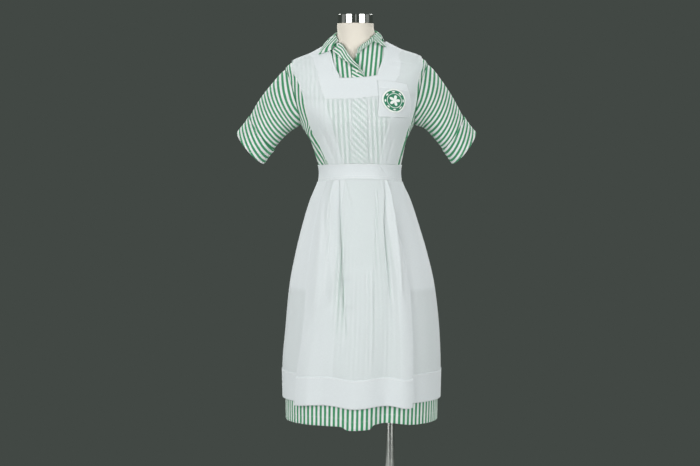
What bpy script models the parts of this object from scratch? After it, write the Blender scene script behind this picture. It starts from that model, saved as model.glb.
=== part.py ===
# A nurse uniform as worn in the ward: a striped cotton shirtwaist dress, a white cotton
# pinafore apron buttoned over it, and the limbless dress form on a stand that carries them.
# Metres, +Z up. The wearer faces -Y and the wearer's left is +X. The origin is the middle
# of the stand's base, on the floor.
import math
from collections import namedtuple

import bmesh
import bpy
import numpy as np

# Driving sizes, in metres
DRESS_WALL = 0.0012
DOUBLE_WALL = 0.0018
APRON_WALL = 0.0012
APRON_DOUBLE_WALL = 0.0020
SEAM_GAP = 0.0003
SHOULDER_LEAN = 0.036
BASE_RADIUS = 0.190
BASE_THICKNESS = 0.008
POLE_RADIUS = 0.014
POLE_X = 0.1005
FORM_BOTTOM_Z = 0.700
NECK_RADIUS = 0.0565
NECK_TOP_Z = 1.518
NECK_X = -0.0080
CAP_TOP_Z = 1.546
APRON_FRONT_DROP = 0.004
CUFF_WALL = 0.0016

# The dress is a stack of rounded sections from the hem to the top of the neck. at is the
# place in the stack. A section's height differs at its side, front and back.
Section = namedtuple("Section", "name at z_side z_front z_back half_width front_depth back_depth centre_x")
DRESS = (
    Section("hem", -0.8025, 0.2965, 0.2940, 0.2975, 0.2356, 0.188, 0.186, 0.0110),
    Section("above_hem", -0.740, 0.3600, 0.3575, 0.3600, 0.2368, 0.190, 0.187, 0.0110),
    Section("knee", -0.641, 0.4590, 0.4570, 0.4590, 0.2385, 0.191, 0.186, 0.0110),
    Section("thigh", -0.517, 0.5830, 0.5820, 0.5830, 0.2310, 0.187, 0.181, 0.0135),
    Section("seat", -0.393, 0.7070, 0.7065, 0.7070, 0.2180, 0.177, 0.172, 0.0125),
    Section("hip", -0.294, 0.8060, 0.8060, 0.8060, 0.1975, 0.162, 0.159, 0.0105),
    Section("high_hip", -0.195, 0.9045, 0.9055, 0.9050, 0.1705, 0.142, 0.139, 0.0080),
    Section("pleat_top", -0.120, 0.9780, 0.9820, 0.9800, 0.1475, 0.122, 0.114, 0.0070),
    Section("below_waist", -0.06, 1.032, 1.043, 1.040, 0.1265, 0.103, 0.091, 0.0060),
    Section("waist", 0.00, 1.058, 1.066, 1.060, 0.1240, 0.098, 0.086, 0.0060),
    Section("ribs", 0.15, 1.110, 1.115, 1.110, 0.1345, 0.108, 0.090, 0.0040),
    Section("under_bust", 0.27, 1.160, 1.165, 1.160, 0.1485, 0.120, 0.097, 0.0010),
    Section("armpit", 0.40, 1.209, 1.222, 1.215, 0.1750, 0.130, 0.106, -0.0020),
    Section("chest", 0.55, 1.290, 1.280, 1.290, 0.2100, 0.124, 0.114, -0.0040),
    Section("dropped_tip", 0.70, 1.385, 1.335, 1.362, 0.2185, 0.106, 0.108, -0.0047),
    Section("shoulder_tip", 0.76, 1.406, 1.352, 1.385, 0.1990, 0.100, 0.104, -0.0047),
    Section("shoulder_mid", 0.88, 1.432, 1.380, 1.428, 0.1350, 0.086, 0.092, -0.0047),
    Section("neck", 1.00, 1.468, 1.400, 1.472, 0.0720, 0.069, 0.069, -0.0047),
    Section("neck_top", 1.15, 1.476, 1.432, 1.487, 0.0660, 0.0645, 0.066, -0.0047),
)
ROUNDNESS = 0.85
BUST_RISE = 0.012


def curve(knots, values, at):
    """A smooth curve through the knots that never overshoots them (monotone cubic)."""
    knots = np.asarray(knots, dtype=float)
    values = np.asarray(values, dtype=float)
    at = np.clip(np.asarray(at, dtype=float), knots[0], knots[-1])
    run = np.diff(knots)
    slope = np.diff(values) / run
    tangent = np.zeros(len(knots))
    tangent[0], tangent[-1] = slope[0], slope[-1]
    for i in range(1, len(knots) - 1):
        if slope[i - 1] * slope[i] > 0:
            before, after = 2 * run[i] + run[i - 1], run[i] + 2 * run[i - 1]
            tangent[i] = (before + after) / (before / slope[i - 1] + after / slope[i])
    k = np.clip(np.searchsorted(knots, at, side="right") - 1, 0, len(run) - 1)
    t = (at - knots[k]) / run[k]
    start = (1 + 2 * t) * (1 - t) ** 2 * values[k] + t * (1 - t) ** 2 * run[k] * tangent[k]
    end = t * t * (3 - 2 * t) * values[k + 1] + t * t * (t - 1) * run[k] * tangent[k + 1]
    return start + end


def smooth_step(start, end, value):
    """0 before start, 1 after end, and an even rise between them."""
    t = np.clip((np.asarray(value, dtype=float) - start) / (end - start), 0, 1)
    return t * t * (3 - 2 * t)


def signed_power(value, power):
    return np.sign(value) * np.abs(value) ** power


def section_value(field, at):
    return curve([s.at for s in DRESS], [getattr(s, field) for s in DRESS], at)


def body_surface(theta, at):
    """The dress body's middle surface. theta is 0 at centre front, 90 at the wearer's left."""
    theta, at = np.broadcast_arrays(np.asarray(theta, dtype=float), np.asarray(at, dtype=float))
    side, ahead = np.sin(np.radians(theta)), np.cos(np.radians(theta))
    centre = section_value("centre_x", at)
    x = centre + section_value("half_width", at) * signed_power(side, ROUNDNESS)
    depth = np.where(ahead > 0, section_value("front_depth", at), section_value("back_depth", at))
    y = -depth * signed_power(ahead, ROUNDNESS)
    bust = np.exp(-((np.abs(theta) - 30) / 19) ** 2 - ((at - 0.42) / 0.13) ** 2)
    y = y - BUST_RISE * bust
    middle = np.where(ahead > 0, section_value("z_front", at), section_value("z_back", at))
    sharpness = 2 - 1.1 * smooth_step(0.80, 1.00, at) * smooth_step(-0.1, 0.3, ahead)
    toward_side = np.abs(side) ** sharpness
    z = middle + (section_value("z_side", at) - middle) * toward_side
    z = z + SHOULDER_LEAN * (x - centre) * smooth_step(0.30, 0.70, at)
    return np.stack([x, y, z], axis=-1)


def body_point(theta, at, out=0.0):
    """A point out metres outside the dress body's middle surface."""
    point = body_surface(theta, at)
    theta, at, out = (np.asarray(value, dtype=float) for value in (theta, at, out))
    around = body_surface(theta + 1.0, at) - body_surface(theta - 1.0, at)
    upward = body_surface(theta, at + 0.004) - body_surface(theta, at - 0.004)
    normal = np.cross(around, upward)
    normal = normal / np.linalg.norm(normal, axis=-1, keepdims=True)
    return point + normal * out[..., None]


def bump(theta, centre, width):
    return np.exp(-((theta - centre) / width) ** 2)


def fold_relief(theta, at):
    """How far the skirts' soft folds stand out at a place, before the wrap of the front panel."""
    low = smooth_step(-0.07, -0.20, at)
    valley = bump(theta, -curve((-0.80, -0.42, -0.06), (9.0, 11.0, 26.5), at), 4.5)
    valley = valley + 0.8 * bump(theta, curve((-0.80, -0.30, -0.06), (21.0, 19.5, 31.6), at), 4.5)
    short = bump(theta, -curve((-0.30, -0.06), (26.0, 43.0), at), 4.0) * smooth_step(-0.34, -0.20, at)
    ridge = bump(theta, -curve((-0.80, -0.06), (24.0, 35.0), at), 8) + 0.7 * bump(theta, 28.0, 6)
    fading = smooth_step(-0.56, -0.40, at)
    hem = smooth_step(-0.40, -0.72, at)
    wave = 0.010 * bump(theta, -3, 9) - 0.004 * bump(theta, -27, 9)
    wave = wave - 0.006 * bump(theta, 14, 7) + 0.004 * bump(theta, 28, 7)
    back = 0.006 * np.cos(np.radians(theta * 9)) * smooth_step(95, 120, np.abs(theta))
    return low * (fading * (0.006 * ridge - 0.007 * valley - 0.004 * short) + back) + hem * wave


def dress_point(theta, at, out=0.0):
    """The dress's middle surface with its skirt folds, moved out metres."""
    theta, at = np.broadcast_arrays(np.asarray(theta, dtype=float), np.asarray(at, dtype=float))
    near_hem = smooth_step(-0.60, -0.80, at)
    flare = 0.005 * bump(theta, -2, 6) - 0.009 * bump(theta, 12, 5)
    point = body_point(theta, at, out + 0.7 * fold_relief(theta, at) + near_hem * flare)
    drop = 0.011 * (smooth_step(-13, -7, theta) - smooth_step(3.5, 6.5, theta)) - 0.010 * bump(theta, 17, 13)
    point[..., 2] -= near_hem * drop
    return point


def apron_point(theta, at, out=0.0, front_share=0.0):
    """The apron skirt's middle surface, clear of the dress. front_share is 1 on the front panel."""
    theta, at = np.broadcast_arrays(np.asarray(theta, dtype=float), np.asarray(at, dtype=float))
    clearance = 0.0052 + 0.0020 * smooth_step(-0.07, -0.16, at)
    point = body_point(theta, at, out + clearance + fold_relief(theta, at))
    near_hem = smooth_step(-0.25, -0.66, at)
    wave = 0.009 * bump(theta, -4, 10) + 0.010 * bump(theta, 30, 9) + 0.007 * bump(theta, -52, 16)
    drop = front_share * (APRON_FRONT_DROP + wave)
    point[..., 2] -= near_hem * drop
    return point


def armhole_angles(turn):
    """Where the armhole seam runs. turn is -90 at the underarm, 0 at the front, 90 at the top."""
    turn = np.asarray(turn, dtype=float)
    reach = np.where(np.cos(np.radians(turn)) >= 0, 29.0, 34.0)
    theta = 90 - reach * np.cos(np.radians(turn))
    at = 0.55 + 0.15 * np.sin(np.radians(turn))
    return theta, at


def armhole_edge(at, reach):
    """How far round a panel may go at a height before it meets the armhole, in degrees."""
    height = np.clip((np.asarray(at, dtype=float) - 0.55) / 0.15, -1, 1)
    return 90 - reach * np.sqrt(1 - height ** 2)


# Set up an empty scene and the materials
for item in list(bpy.data.objects):
    bpy.data.objects.remove(item, do_unlink=True)


def make_material(name, colour, roughness, metallic=0.0):
    material = bpy.data.materials.new(name)
    material.use_nodes = True
    shader = material.node_tree.nodes["Principled BSDF"]
    shader.inputs["Base Color"].default_value = (*colour, 1.0)
    shader.inputs["Roughness"].default_value = roughness
    shader.inputs["Metallic"].default_value = metallic
    material.diffuse_color = (*colour, 1.0)
    return material


STRIPED_COTTON = make_material("striped cotton", (0.50, 0.70, 0.56), 0.90)
WHITE_COTTON = make_material("white cotton", (0.84, 0.87, 0.87), 0.90)
PATCH_TWILL = make_material("green and white patch", (0.10, 0.42, 0.29), 0.80)
FORM_COVER = make_material("cream form cover", (0.75, 0.71, 0.62), 0.80)
CHROME = make_material("chromed steel", (0.78, 0.78, 0.78), 0.15, 1.0)
BUTTON_RESIN = make_material("button resin", (0.88, 0.89, 0.86), 0.35)


def add_mesh(name, points, faces, material):
    mesh = bpy.data.meshes.new(name)
    mesh.from_pydata([tuple(point) for point in points], [], faces)
    mesh.validate()
    mesh.shade_smooth()
    mesh.materials.append(material)
    item = bpy.data.objects.new(name, mesh)
    bpy.context.collection.objects.link(item)
    return item


def cloth_panel(name, grid, wall, material, closed=False, keep=None):
    """A sheet of cloth from a grid of points, rows by columns, given its wall thickness.

    closed joins the last column to the first. keep says which cells are cloth.
    """
    grid = np.asarray(grid, dtype=float)
    rows, columns = grid.shape[:2]
    faces = []
    for row in range(rows - 1):
        for column in range(columns if closed else columns - 1):
            if keep is None or keep(row, column):
                after = (column + 1) % columns
                corner = row * columns
                faces.append((corner + column, corner + after,
                              corner + columns + after, corner + columns + column))
    used = sorted({corner for face in faces for corner in face})
    place = {corner: index for index, corner in enumerate(used)}
    flat = grid.reshape(-1, 3)
    faces = [tuple(place[corner] for corner in face) for face in faces]
    item = add_mesh(name, [flat[corner] for corner in used], faces, material)
    thicken = item.modifiers.new("wall", "SOLIDIFY")
    thicken.thickness = wall
    thicken.offset = 0.0
    return item


def turned_solid(name, rings, material, sharp=False):
    """A solid closed over a stack of rings of points, bottom first."""
    rings = np.asarray(rings, dtype=float)
    count, around = rings.shape[:2]
    points = list(rings.reshape(-1, 3))
    points.append(rings[0].mean(axis=0))
    points.append(rings[-1].mean(axis=0))
    bottom, top = count * around, count * around + 1
    faces = []
    for row in range(count - 1):
        for k in range(around):
            after = (k + 1) % around
            faces.append((row * around + k, row * around + after,
                          (row + 1) * around + after, (row + 1) * around + k))
    for k in range(around):
        after = (k + 1) % around
        faces.append((bottom, after, k))
        faces.append((top, (count - 1) * around + k, (count - 1) * around + after))
    item = add_mesh(name, points, faces, material)
    if sharp:
        item.data.set_sharp_from_angle(angle=math.radians(35))
    return item


def round_solid(name, profile, centre, material, around=32):
    """A turned solid from (radius, height) pairs, bottom first."""
    turn = np.radians(np.arange(around) * 360.0 / around)
    rings = [np.stack([centre[0] + radius * np.cos(turn), centre[1] + radius * np.sin(turn),
                       np.full(around, centre[2] + height)], axis=-1) for radius, height in profile]
    return turned_solid(name, rings, material, sharp=True)


# The dress form: a smooth torso with a neck and no arms or head. Its shoulders lie just
# under the dress, which rests on them, and elsewhere the dress hangs clear.
# inset is how far the form lies inside the dress's middle surface.
FormRow = namedtuple("FormRow", "name at inset_front inset_side inset_back")
FORM = (
    FormRow("waist", 0.00, 0.0095, 0.0050, 0.0045),
    FormRow("ribs", 0.15, 0.0110, 0.0070, 0.0060),
    FormRow("under_bust", 0.27, 0.0120, 0.0110, 0.0070),
    FormRow("bust", 0.40, 0.0110, 0.0230, 0.0090),
    FormRow("chest", 0.55, 0.0110, 0.0420, 0.0120),
    FormRow("upper_chest", 0.65, 0.0090, 0.0370, 0.0110),
    FormRow("shoulder_end", 0.72, 0.0080, 0.0170, 0.0090),
    FormRow("shoulder_tip", 0.76, 0.0060, 0.0050, 0.0060),
    FormRow("shoulder", 0.82, 0.0060, 0.0010, 0.0030),
    FormRow("shoulder_mid", 0.88, 0.0055, 0.0010, 0.0030),
    FormRow("shoulder_in", 0.94, 0.0060, 0.0012, 0.0036),
    FormRow("neck_root", 0.975, 0.0075, 0.0045, 0.0055),
    FormRow("neck", 1.00, 0.0095, 0.0118, 0.0085),
)
HipRow = namedtuple("HipRow", "z half_width front_depth back_depth")
HIPS = (
    HipRow(0.700, 0.128, 0.084, 0.088),
    HipRow(0.706, 0.148, 0.100, 0.106),
    HipRow(0.740, 0.157, 0.107, 0.115),
    HipRow(0.860, 0.158, 0.112, 0.124),
    HipRow(0.920, 0.150, 0.110, 0.119),
    HipRow(0.980, 0.134, 0.102, 0.105),
    HipRow(1.025, 0.121, 0.092, 0.088),
)
FORM_COLUMNS = np.arange(32) * 11.25


def form_rings():
    side, ahead = np.sin(np.radians(FORM_COLUMNS)), np.cos(np.radians(FORM_COLUMNS))
    theta = np.where(FORM_COLUMNS > 180, FORM_COLUMNS - 360, FORM_COLUMNS)
    rings = []
    for hip in HIPS:
        depth = np.where(ahead > 0, hip.front_depth, hip.back_depth)
        rings.append(np.stack([0.006 + hip.half_width * signed_power(side, ROUNDNESS),
                               -depth * signed_power(ahead, ROUNDNESS),
                               np.full(len(side), hip.z)], axis=-1))
    for row in FORM:
        end = np.where(ahead > 0, row.inset_front, row.inset_back)
        inset = end + (row.inset_side - end) * side ** 2
        rings.append(body_point(theta, row.at, -inset))
    for radius, centre_x, z in ((0.0575, -0.0060, 1.489), (NECK_RADIUS, NECK_X, 1.507),
                                (NECK_RADIUS, NECK_X, NECK_TOP_Z)):
        rings.append(np.stack([centre_x + radius * side, -radius * ahead, np.full(len(side), z)], axis=-1))
    return rings


turned_solid("form_torso", form_rings(), FORM_COVER)
round_solid("neck_cap", ((0.0530, 0.0), (0.0542, 0.0015), (0.0542, 0.0265), (0.0530, CAP_TOP_Z - NECK_TOP_Z)),
            (NECK_X, 0.0, NECK_TOP_Z + SEAM_GAP), CHROME)

# The stand: a weighted base disc, a straight pole and the flange screwed under the form
round_solid("stand_base", ((BASE_RADIUS - 0.001, 0.0), (BASE_RADIUS, 0.001), (BASE_RADIUS, 0.006),
                           (BASE_RADIUS - 0.002, BASE_THICKNESS)), (0.0, 0.0, 0.0), CHROME, around=48)
round_solid("stand_pole", ((POLE_RADIUS, BASE_THICKNESS + SEAM_GAP), (POLE_RADIUS, 0.6895)),
            (POLE_X, 0.0, 0.0), CHROME, around=24)
round_solid("pole_flange", ((0.0240, 0.6898), (0.0380, 0.6935), (0.0380, FORM_BOTTOM_Z - SEAM_GAP)),
            (POLE_X, 0.0, 0.0), CHROME)

# The dress bodice: two fronts that overlap at the centre and a whole back, seamed at the
# shoulders and sides, with the armholes and the neck left open.
SIDE_COLUMNS = np.arange(9) * 11.25
LEFT_UNDERLAP = 0.0022
ARMHOLE_TURNS = np.arange(-90, 91, 18)
LOW_ROWS = (0.0, 0.075, 0.15, 0.21, 0.27, 0.335)
HIGH_STEPS = (0.2, 0.4, 0.6, 0.8, 1.0)
NeckPoint = namedtuple("NeckPoint", "theta at")
RIGHT_NECKLINE = (NeckPoint(-90, 1.0), NeckPoint(-62, 1.005), NeckPoint(-50, 1.05), NeckPoint(-38, 1.09), NeckPoint(-18, 1.01),
                  NeckPoint(-8.5, 0.985), NeckPoint(-2, 0.960), NeckPoint(2, 0.885), NeckPoint(6.5, 0.745))
LEFT_NECKLINE = (NeckPoint(0, 1.12), NeckPoint(31, 1.13), NeckPoint(60, 1.09), NeckPoint(90, 1.0))


def neckline(table, theta):
    return curve([point.theta for point in table], [point.at for point in table], theta)


def panel_rows(reach):
    """The heights of a bodice panel's rows up to the armhole's top, and the arc each may fill."""
    heights = list(LOW_ROWS) + [0.55 + 0.15 * math.sin(math.radians(turn)) for turn in ARMHOLE_TURNS]
    return [(at, float(armhole_edge(at, reach))) for at in heights]


def front_grid(side, table, edge_low, edge_high, underlap):
    """One front. side is 1 for the wearer's left. underlap drops the edge under the other front."""
    seam = math.degrees(SEAM_GAP / 2 / 0.13)
    grid = []
    for at, arc in panel_rows(29.0):
        theta = np.concatenate([SIDE_COLUMNS[1:][::-1], [0.0]]) / 90.0 * (arc - seam)
        theta[-1] = curve((0.0, 0.70), (edge_low, edge_low), at)
        out = -underlap * smooth_step(26, 12, theta)
        grid.append((side * theta, np.full(9, at), out))
    for step in HIGH_STEPS:
        theta = np.concatenate([SIDE_COLUMNS[1:][::-1], [0.0]])
        theta[0] -= seam
        theta[-1] = edge_low + (edge_high - edge_low) * smooth_step(0.3, 1.0, step)
        top = neckline(table, side * theta)
        at = 0.70 + (top - 0.70) * step
        grid.append((side * theta, at, -underlap * smooth_step(26, 12, theta)))
    theta, at, out = (np.array(values) for values in zip(*grid))
    return dress_point(theta, at, out)


def back_grid():
    seam = math.degrees(SEAM_GAP / 2 / 0.13)
    offsets = np.concatenate([-SIDE_COLUMNS[::-1], SIDE_COLUMNS[1:]])
    grid = []
    for at, arc in panel_rows(34.0):
        theta = 180 - offsets / 90.0 * (arc - seam)
        grid.append(dress_point(theta, np.full(17, at)))
    for step in HIGH_STEPS:
        scale = np.where(np.abs(offsets) > 89, (90 - seam) / 90, 1.0)
        grid.append(dress_point(180 - offsets * scale, np.full(17, 0.70 + 0.30 * step)))
    return np.array(grid)[:, ::-1]


cloth_panel("bodice_front_right", front_grid(-1, RIGHT_NECKLINE, -2.0, -2.0, 0.0)[:, ::1],
            DRESS_WALL, STRIPED_COTTON)
cloth_panel("bodice_front_left", front_grid(1, LEFT_NECKLINE, -4.0, 3.0, LEFT_UNDERLAP)[:, ::-1],
            DRESS_WALL, STRIPED_COTTON)
cloth_panel("bodice_back", back_grid(), DRESS_WALL, STRIPED_COTTON)

# The sleeves: short tubes set into the armholes. Each row gives the upper and lower edges
# seen from the front, measured from the dress's centre line. left_tuck is how much nearer its
# upper edge the left sleeve's underside hangs. The openings tip so that their fronts hang lower.
SleeveRow = namedtuple("SleeveRow", "name along upper_x upper_z lower_x lower_z left_tuck centre_y half_depth")
SLEEVE = (
    SleeveRow("armhole", 0.00, 0.2186, 1.3850, 0.1750, 1.2090, 0.000, 0.004, 0.0650),
    SleeveRow("cap", 0.20, 0.2435, 1.3610, 0.1940, 1.2000, 0.002, 0.010, 0.0630),
    SleeveRow("upper", 0.45, 0.2750, 1.3230, 0.2140, 1.1830, 0.007, 0.019, 0.0600),
    SleeveRow("lower", 0.72, 0.3060, 1.2780, 0.2380, 1.1560, 0.011, 0.029, 0.0580),
    SleeveRow("cuff_top", 1.00, 0.3330, 1.2306, 0.2580, 1.1305, 0.012, 0.039, 0.0565),
    SleeveRow("cuff_end", 1.45, 0.3705, 1.1825, 0.2895, 1.0885, 0.010, 0.055, 0.0570),
)
SLEEVE_CENTRE_X = -0.0047
SLEEVE_TIP = 0.012
SLEEVE_TURNS = np.arange(-90, 270, 18)


def sleeve_value(field, along):
    return curve([row.along for row in SLEEVE], [getattr(row, field) for row in SLEEVE], along)


def sleeve_edges(side, along):
    """The sleeve's upper and lower edges, as (across, height) from the dress's centre line."""
    tuck = sleeve_value("left_tuck", along) if side > 0 else 0.0
    upper = np.array([sleeve_value("upper_x", along), sleeve_value("upper_z", along)])
    lower = np.array([sleeve_value("lower_x", along) + tuck, sleeve_value("lower_z", along)])
    return upper * (side, 1), lower * (side, 1)


def sleeve_centre(side, along):
    upper, lower = sleeve_edges(side, along)
    middle = (upper + lower) / 2
    return np.array([SLEEVE_CENTRE_X + middle[0], float(sleeve_value("centre_y", along)), middle[1]])


def sleeve_ring(side, along, out=0.0):
    """The sleeve's cross-section at a place along it, blended from the armhole's outline."""
    turn = np.radians(SLEEVE_TURNS)
    upper, lower = sleeve_edges(side, along)
    half_x, half_z = (upper - lower) / 2
    centre = sleeve_centre(side, along)
    depth = sleeve_value("half_depth", along) + out
    length = math.hypot(half_x, half_z)
    scale = (length + out) / length
    ring = np.stack([centre[0] + half_x * scale * np.sin(turn), centre[1] - depth * np.cos(turn),
                     centre[2] + half_z * scale * np.sin(turn)], axis=-1)
    axis = sleeve_centre(side, 1.45) - sleeve_centre(side, 0.72)
    axis[1] = 0.0
    axis /= np.linalg.norm(axis)
    ring += axis * (SLEEVE_TIP * smooth_step(0.35, 1.45, along) * np.cos(turn))[:, None]
    lean = SHOULDER_LEAN * (1 - smooth_step(0.0, 0.9, along))
    ring[:, 2] += lean * (ring[:, 0] - SLEEVE_CENTRE_X)
    theta, at = armhole_angles(SLEEVE_TURNS)
    armhole = dress_point(side * theta, at) + (centre - sleeve_centre(side, 0.0))
    share = smooth_step(0.0, 0.34, along)
    return (1 - share) * armhole + share * ring


def sleeve_grid(side):
    theta, at = armhole_angles(SLEEVE_TURNS)
    first = dress_point(side * theta, at)
    ahead = sleeve_ring(side, 0.08) - first
    ahead /= np.linalg.norm(ahead, axis=1, keepdims=True)
    along_seam = np.roll(first, -1, axis=0) - np.roll(first, 1, axis=0)
    normal = dress_point(side * theta, at, 0.01) - first
    outward = np.cross(along_seam, normal)
    outward /= np.linalg.norm(outward, axis=1, keepdims=True)
    middle = first.mean(axis=0)
    outward *= np.sign(((middle - first) * outward).sum(axis=1, keepdims=True))
    bend = np.arccos(np.clip((outward * ahead).sum(axis=1), -1, 1))
    gap = np.clip(0.0004 + 0.0013 * np.tan(bend / 2), 0.0004, 0.0030)
    rows = [first + ahead * gap[:, None]]
    rows += [sleeve_ring(side, along) for along in (0.10, 0.22, 0.38, 0.58, 0.80, 1.05, 1.42)]
    return np.array(rows)


def cuff_grid(side):
    rows = [sleeve_ring(side, along, out)
            for along, out in ((1.00, 0.0034), (1.12, 0.0025), (1.45, 0.0022))]
    return np.array(rows)


for side, word in ((-1, "right"), (1, "left")):
    order = slice(None) if side > 0 else slice(None, None, -1)
    cloth_panel("sleeve_" + word, sleeve_grid(side)[:, order], DRESS_WALL, STRIPED_COTTON, closed=True)
    cloth_panel("cuff_" + word, cuff_grid(side)[:, order], CUFF_WALL, STRIPED_COTTON, closed=True)

# The collar: one strip that stands up from the neckline, rolls over and falls outside the
# apron straps. Its right end meets the turned-back lapel, its left end runs to centre front.
CollarColumn = namedtuple("CollarColumn", "theta roll_z edge_theta edge_at edge_out")
COLLAR = (
    CollarColumn(-60, 1.4665, -48.0, 0.943, 0.0076),
    CollarColumn(-64, 1.4700, -57.0, 0.886, 0.0076),
    CollarColumn(-72, 1.4770, -71.0, 0.925, 0.0074),
    CollarColumn(-90, 1.4866, -90.0, 0.940, 0.0070),
    CollarColumn(-112, 1.4925, -113.0, 0.935, 0.0070),
    CollarColumn(-135, 1.4975, -136.0, 0.932, 0.0070),
    CollarColumn(-158, 1.5015, -158.0, 0.930, 0.0070),
    CollarColumn(-180, 1.5030, -180.0, 0.930, 0.0070),
    CollarColumn(-202, 1.5025, -202.0, 0.930, 0.0070),
    CollarColumn(-225, 1.5000, -224.0, 0.932, 0.0070),
    CollarColumn(-248, 1.4965, -247.0, 0.955, 0.0074),
    CollarColumn(-270, 1.4925, -270.0, 0.982, 0.0084),
    CollarColumn(-288, 1.4895, -289.0, 0.972, 0.0082),
    CollarColumn(-298, 1.4845, -301.5, 0.922, 0.0074),
    CollarColumn(-306, 1.4800, -314.5, 1.055, 0.0064),
    CollarColumn(-318, 1.4735, -319.0, 1.070, 0.0060),
    CollarColumn(-329, 1.4655, -329.5, 1.070, 0.0058),
    CollarColumn(-341, 1.4550, -341.0, 1.065, 0.0058),
    CollarColumn(-353, 1.4440, -353.0, 1.060, 0.0058),
)
ROLL_HALF_WIDTH = 0.0650
ROLL_HALF_DEPTH = 0.0660


def roll_point(theta, z, out):
    side, ahead = math.sin(math.radians(theta)), math.cos(math.radians(theta))
    return np.array([-0.0047 + (ROLL_HALF_WIDTH + out) * side, -(ROLL_HALF_DEPTH + out) * ahead, z])


def signed_angle(theta):
    return (theta + 180) % 360 - 180


def neck_edge(theta):
    """The neckline of the bodice panels, which runs straight between their columns."""
    step = SIDE_COLUMNS[1]
    low = math.floor(theta / step) * step
    ends = []
    for angle in (low, low + step):
        top = 1.0
        if -90 < angle < 0:
            top = float(neckline(RIGHT_NECKLINE, angle))
        if 0 <= angle < 90:
            top = float(neckline(LEFT_NECKLINE, angle))
        drop = LEFT_UNDERLAP * float(smooth_step(26, 12, angle)) if angle >= 0 else 0.0
        ends.append(dress_point(angle, top, -drop))
    share = (theta - low) / step
    return ends[0] * (1 - share) + ends[1] * share


def collar_column(column):
    theta = signed_angle(column.theta)
    foot = neck_edge(theta) + np.array([0.0, 0.0, 0.0013])
    inner = roll_point(theta, column.roll_z - 0.0030, -0.0012)
    crown = roll_point(theta, column.roll_z, 0.0006)
    outer = roll_point(theta, column.roll_z - 0.0025, 0.0034)
    edge = dress_point(signed_angle(column.edge_theta), column.edge_at, column.edge_out)
    fall = [outer + (edge - outer) * share + bulge * (outer - inner) * np.array([1.0, 1.0, 0.3])
            for share, bulge in ((0.33, 0.62), (0.68, 0.50), (1.0, 0.0))]
    return [foot, 0.5 * (foot + inner), inner, crown, outer] + fall


cloth_panel("collar", np.array([collar_column(column) for column in COLLAR]).transpose(1, 0, 2),
            DOUBLE_WALL, STRIPED_COTTON)

# The right lapel: the top of the right front and its facing, folded back on itself.
# Each row runs from the fold line to the lapel's outer edge.
LapelRow = namedtuple("LapelRow", "fold_theta fold_at edge_theta edge_at fold_out edge_out")
LAPEL = (
    LapelRow(-47.0, 1.085, -45.2, 0.945, 0.0034, 0.0050),
    LapelRow(-36.0, 1.085, -32.0, 0.937, 0.0034, 0.0050),
    LapelRow(-26.0, 1.045, -24.0, 0.934, 0.0036, 0.0050),
    LapelRow(-18.0, 1.003, -16.5, 0.932, 0.0040, 0.0050),
    LapelRow(-9.5, 0.980, -8.5, 0.925, 0.0064, 0.0067),
    LapelRow(-3.0, 0.958, -2.5, 0.908, 0.0068, 0.0071),
    LapelRow(1.0, 0.910, 0.2, 0.872, 0.0068, 0.0071),
    LapelRow(3.0, 0.845, 2.2, 0.818, 0.0066, 0.0069),
    LapelRow(4.6, 0.785, 4.2, 0.772, 0.0064, 0.0067),
)


def lapel_row(row):
    shares = (0.0, 0.35, 0.7, 1.0)
    return [dress_point(row.fold_theta + (row.edge_theta - row.fold_theta) * share,
                        row.fold_at + (row.edge_at - row.fold_at) * share,
                        row.fold_out + (row.edge_out - row.fold_out) * share) for share in shares]


cloth_panel("lapel_right", np.array([lapel_row(row) for row in LAPEL]), 0.0016, STRIPED_COTTON)

# The bias-cut band sewn down the right front's edge, from the lapel to below the waist
BAND_LEFT_X, BAND_RIGHT_X = -0.0185, 0.0265
BAND_OUT = 0.0023
BAND_SKIRT_HEIGHTS = (-0.27, -0.21, -0.165, -0.125, -0.095, -0.065, -0.030)


def theta_at_x(x, at):
    """The angle at which the dress's section reaches a place across, near the front."""
    across = (x - section_value("centre_x", at)) / section_value("half_width", at)
    return float(np.degrees(np.arcsin(signed_power(across, 1 / ROUNDNESS))))


def front_band_out(at):
    return BAND_OUT + 0.0017 * float(smooth_step(0.82, 0.91, at))


def band_grid():
    grid = []
    across = np.linspace(BAND_LEFT_X, BAND_RIGHT_X, 4)
    for at in BAND_SKIRT_HEIGHTS + tuple(height for height, _ in panel_rows(29.0)):
        grid.append([dress_point(theta_at_x(x, at), at, front_band_out(at)) for x in across])
    for step in HIGH_STEPS:
        row = []
        for x in across:
            theta = theta_at_x(x, 0.85)
            at = 0.70 + (float(neckline(RIGHT_NECKLINE, theta)) - 0.010 - 0.70) * step
            row.append(dress_point(theta_at_x(x, at), at, front_band_out(at)))
        grid.append(row)
    return np.array(grid)


cloth_panel("front_band", band_grid(), DOUBLE_WALL, STRIPED_COTTON)

# The dress skirt: a front and a back seamed at the sides, from the waist to the hem
SKIRT_HEIGHTS = (-0.0020, -0.030, -0.065, -0.095, -0.125, -0.165, -0.21, -0.27, -0.36, -0.46,
                 -0.58, -0.70, -0.8025)


def skirt_grid(angles):
    return np.array([dress_point(np.array(angles), at) for at in reversed(SKIRT_HEIGHTS)])


side_seam = 0.05
front_angles = np.concatenate([[-90 + side_seam], np.concatenate([np.arange(-82, -33, 8), (-27, -20, -13.5, -9, -3, 3, 6.5, 12, 19, 27, 35), np.arange(43, 84, 8)]), [90 - side_seam]])
back_angles = np.concatenate([[90 + side_seam], np.arange(102, 259, 12), [270 - side_seam]])
cloth_panel("dress_skirt_front", skirt_grid(front_angles), DRESS_WALL, STRIPED_COTTON)
cloth_panel("dress_skirt_back", skirt_grid([signed_angle(angle) for angle in back_angles]),
            DRESS_WALL, STRIPED_COTTON)


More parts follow.
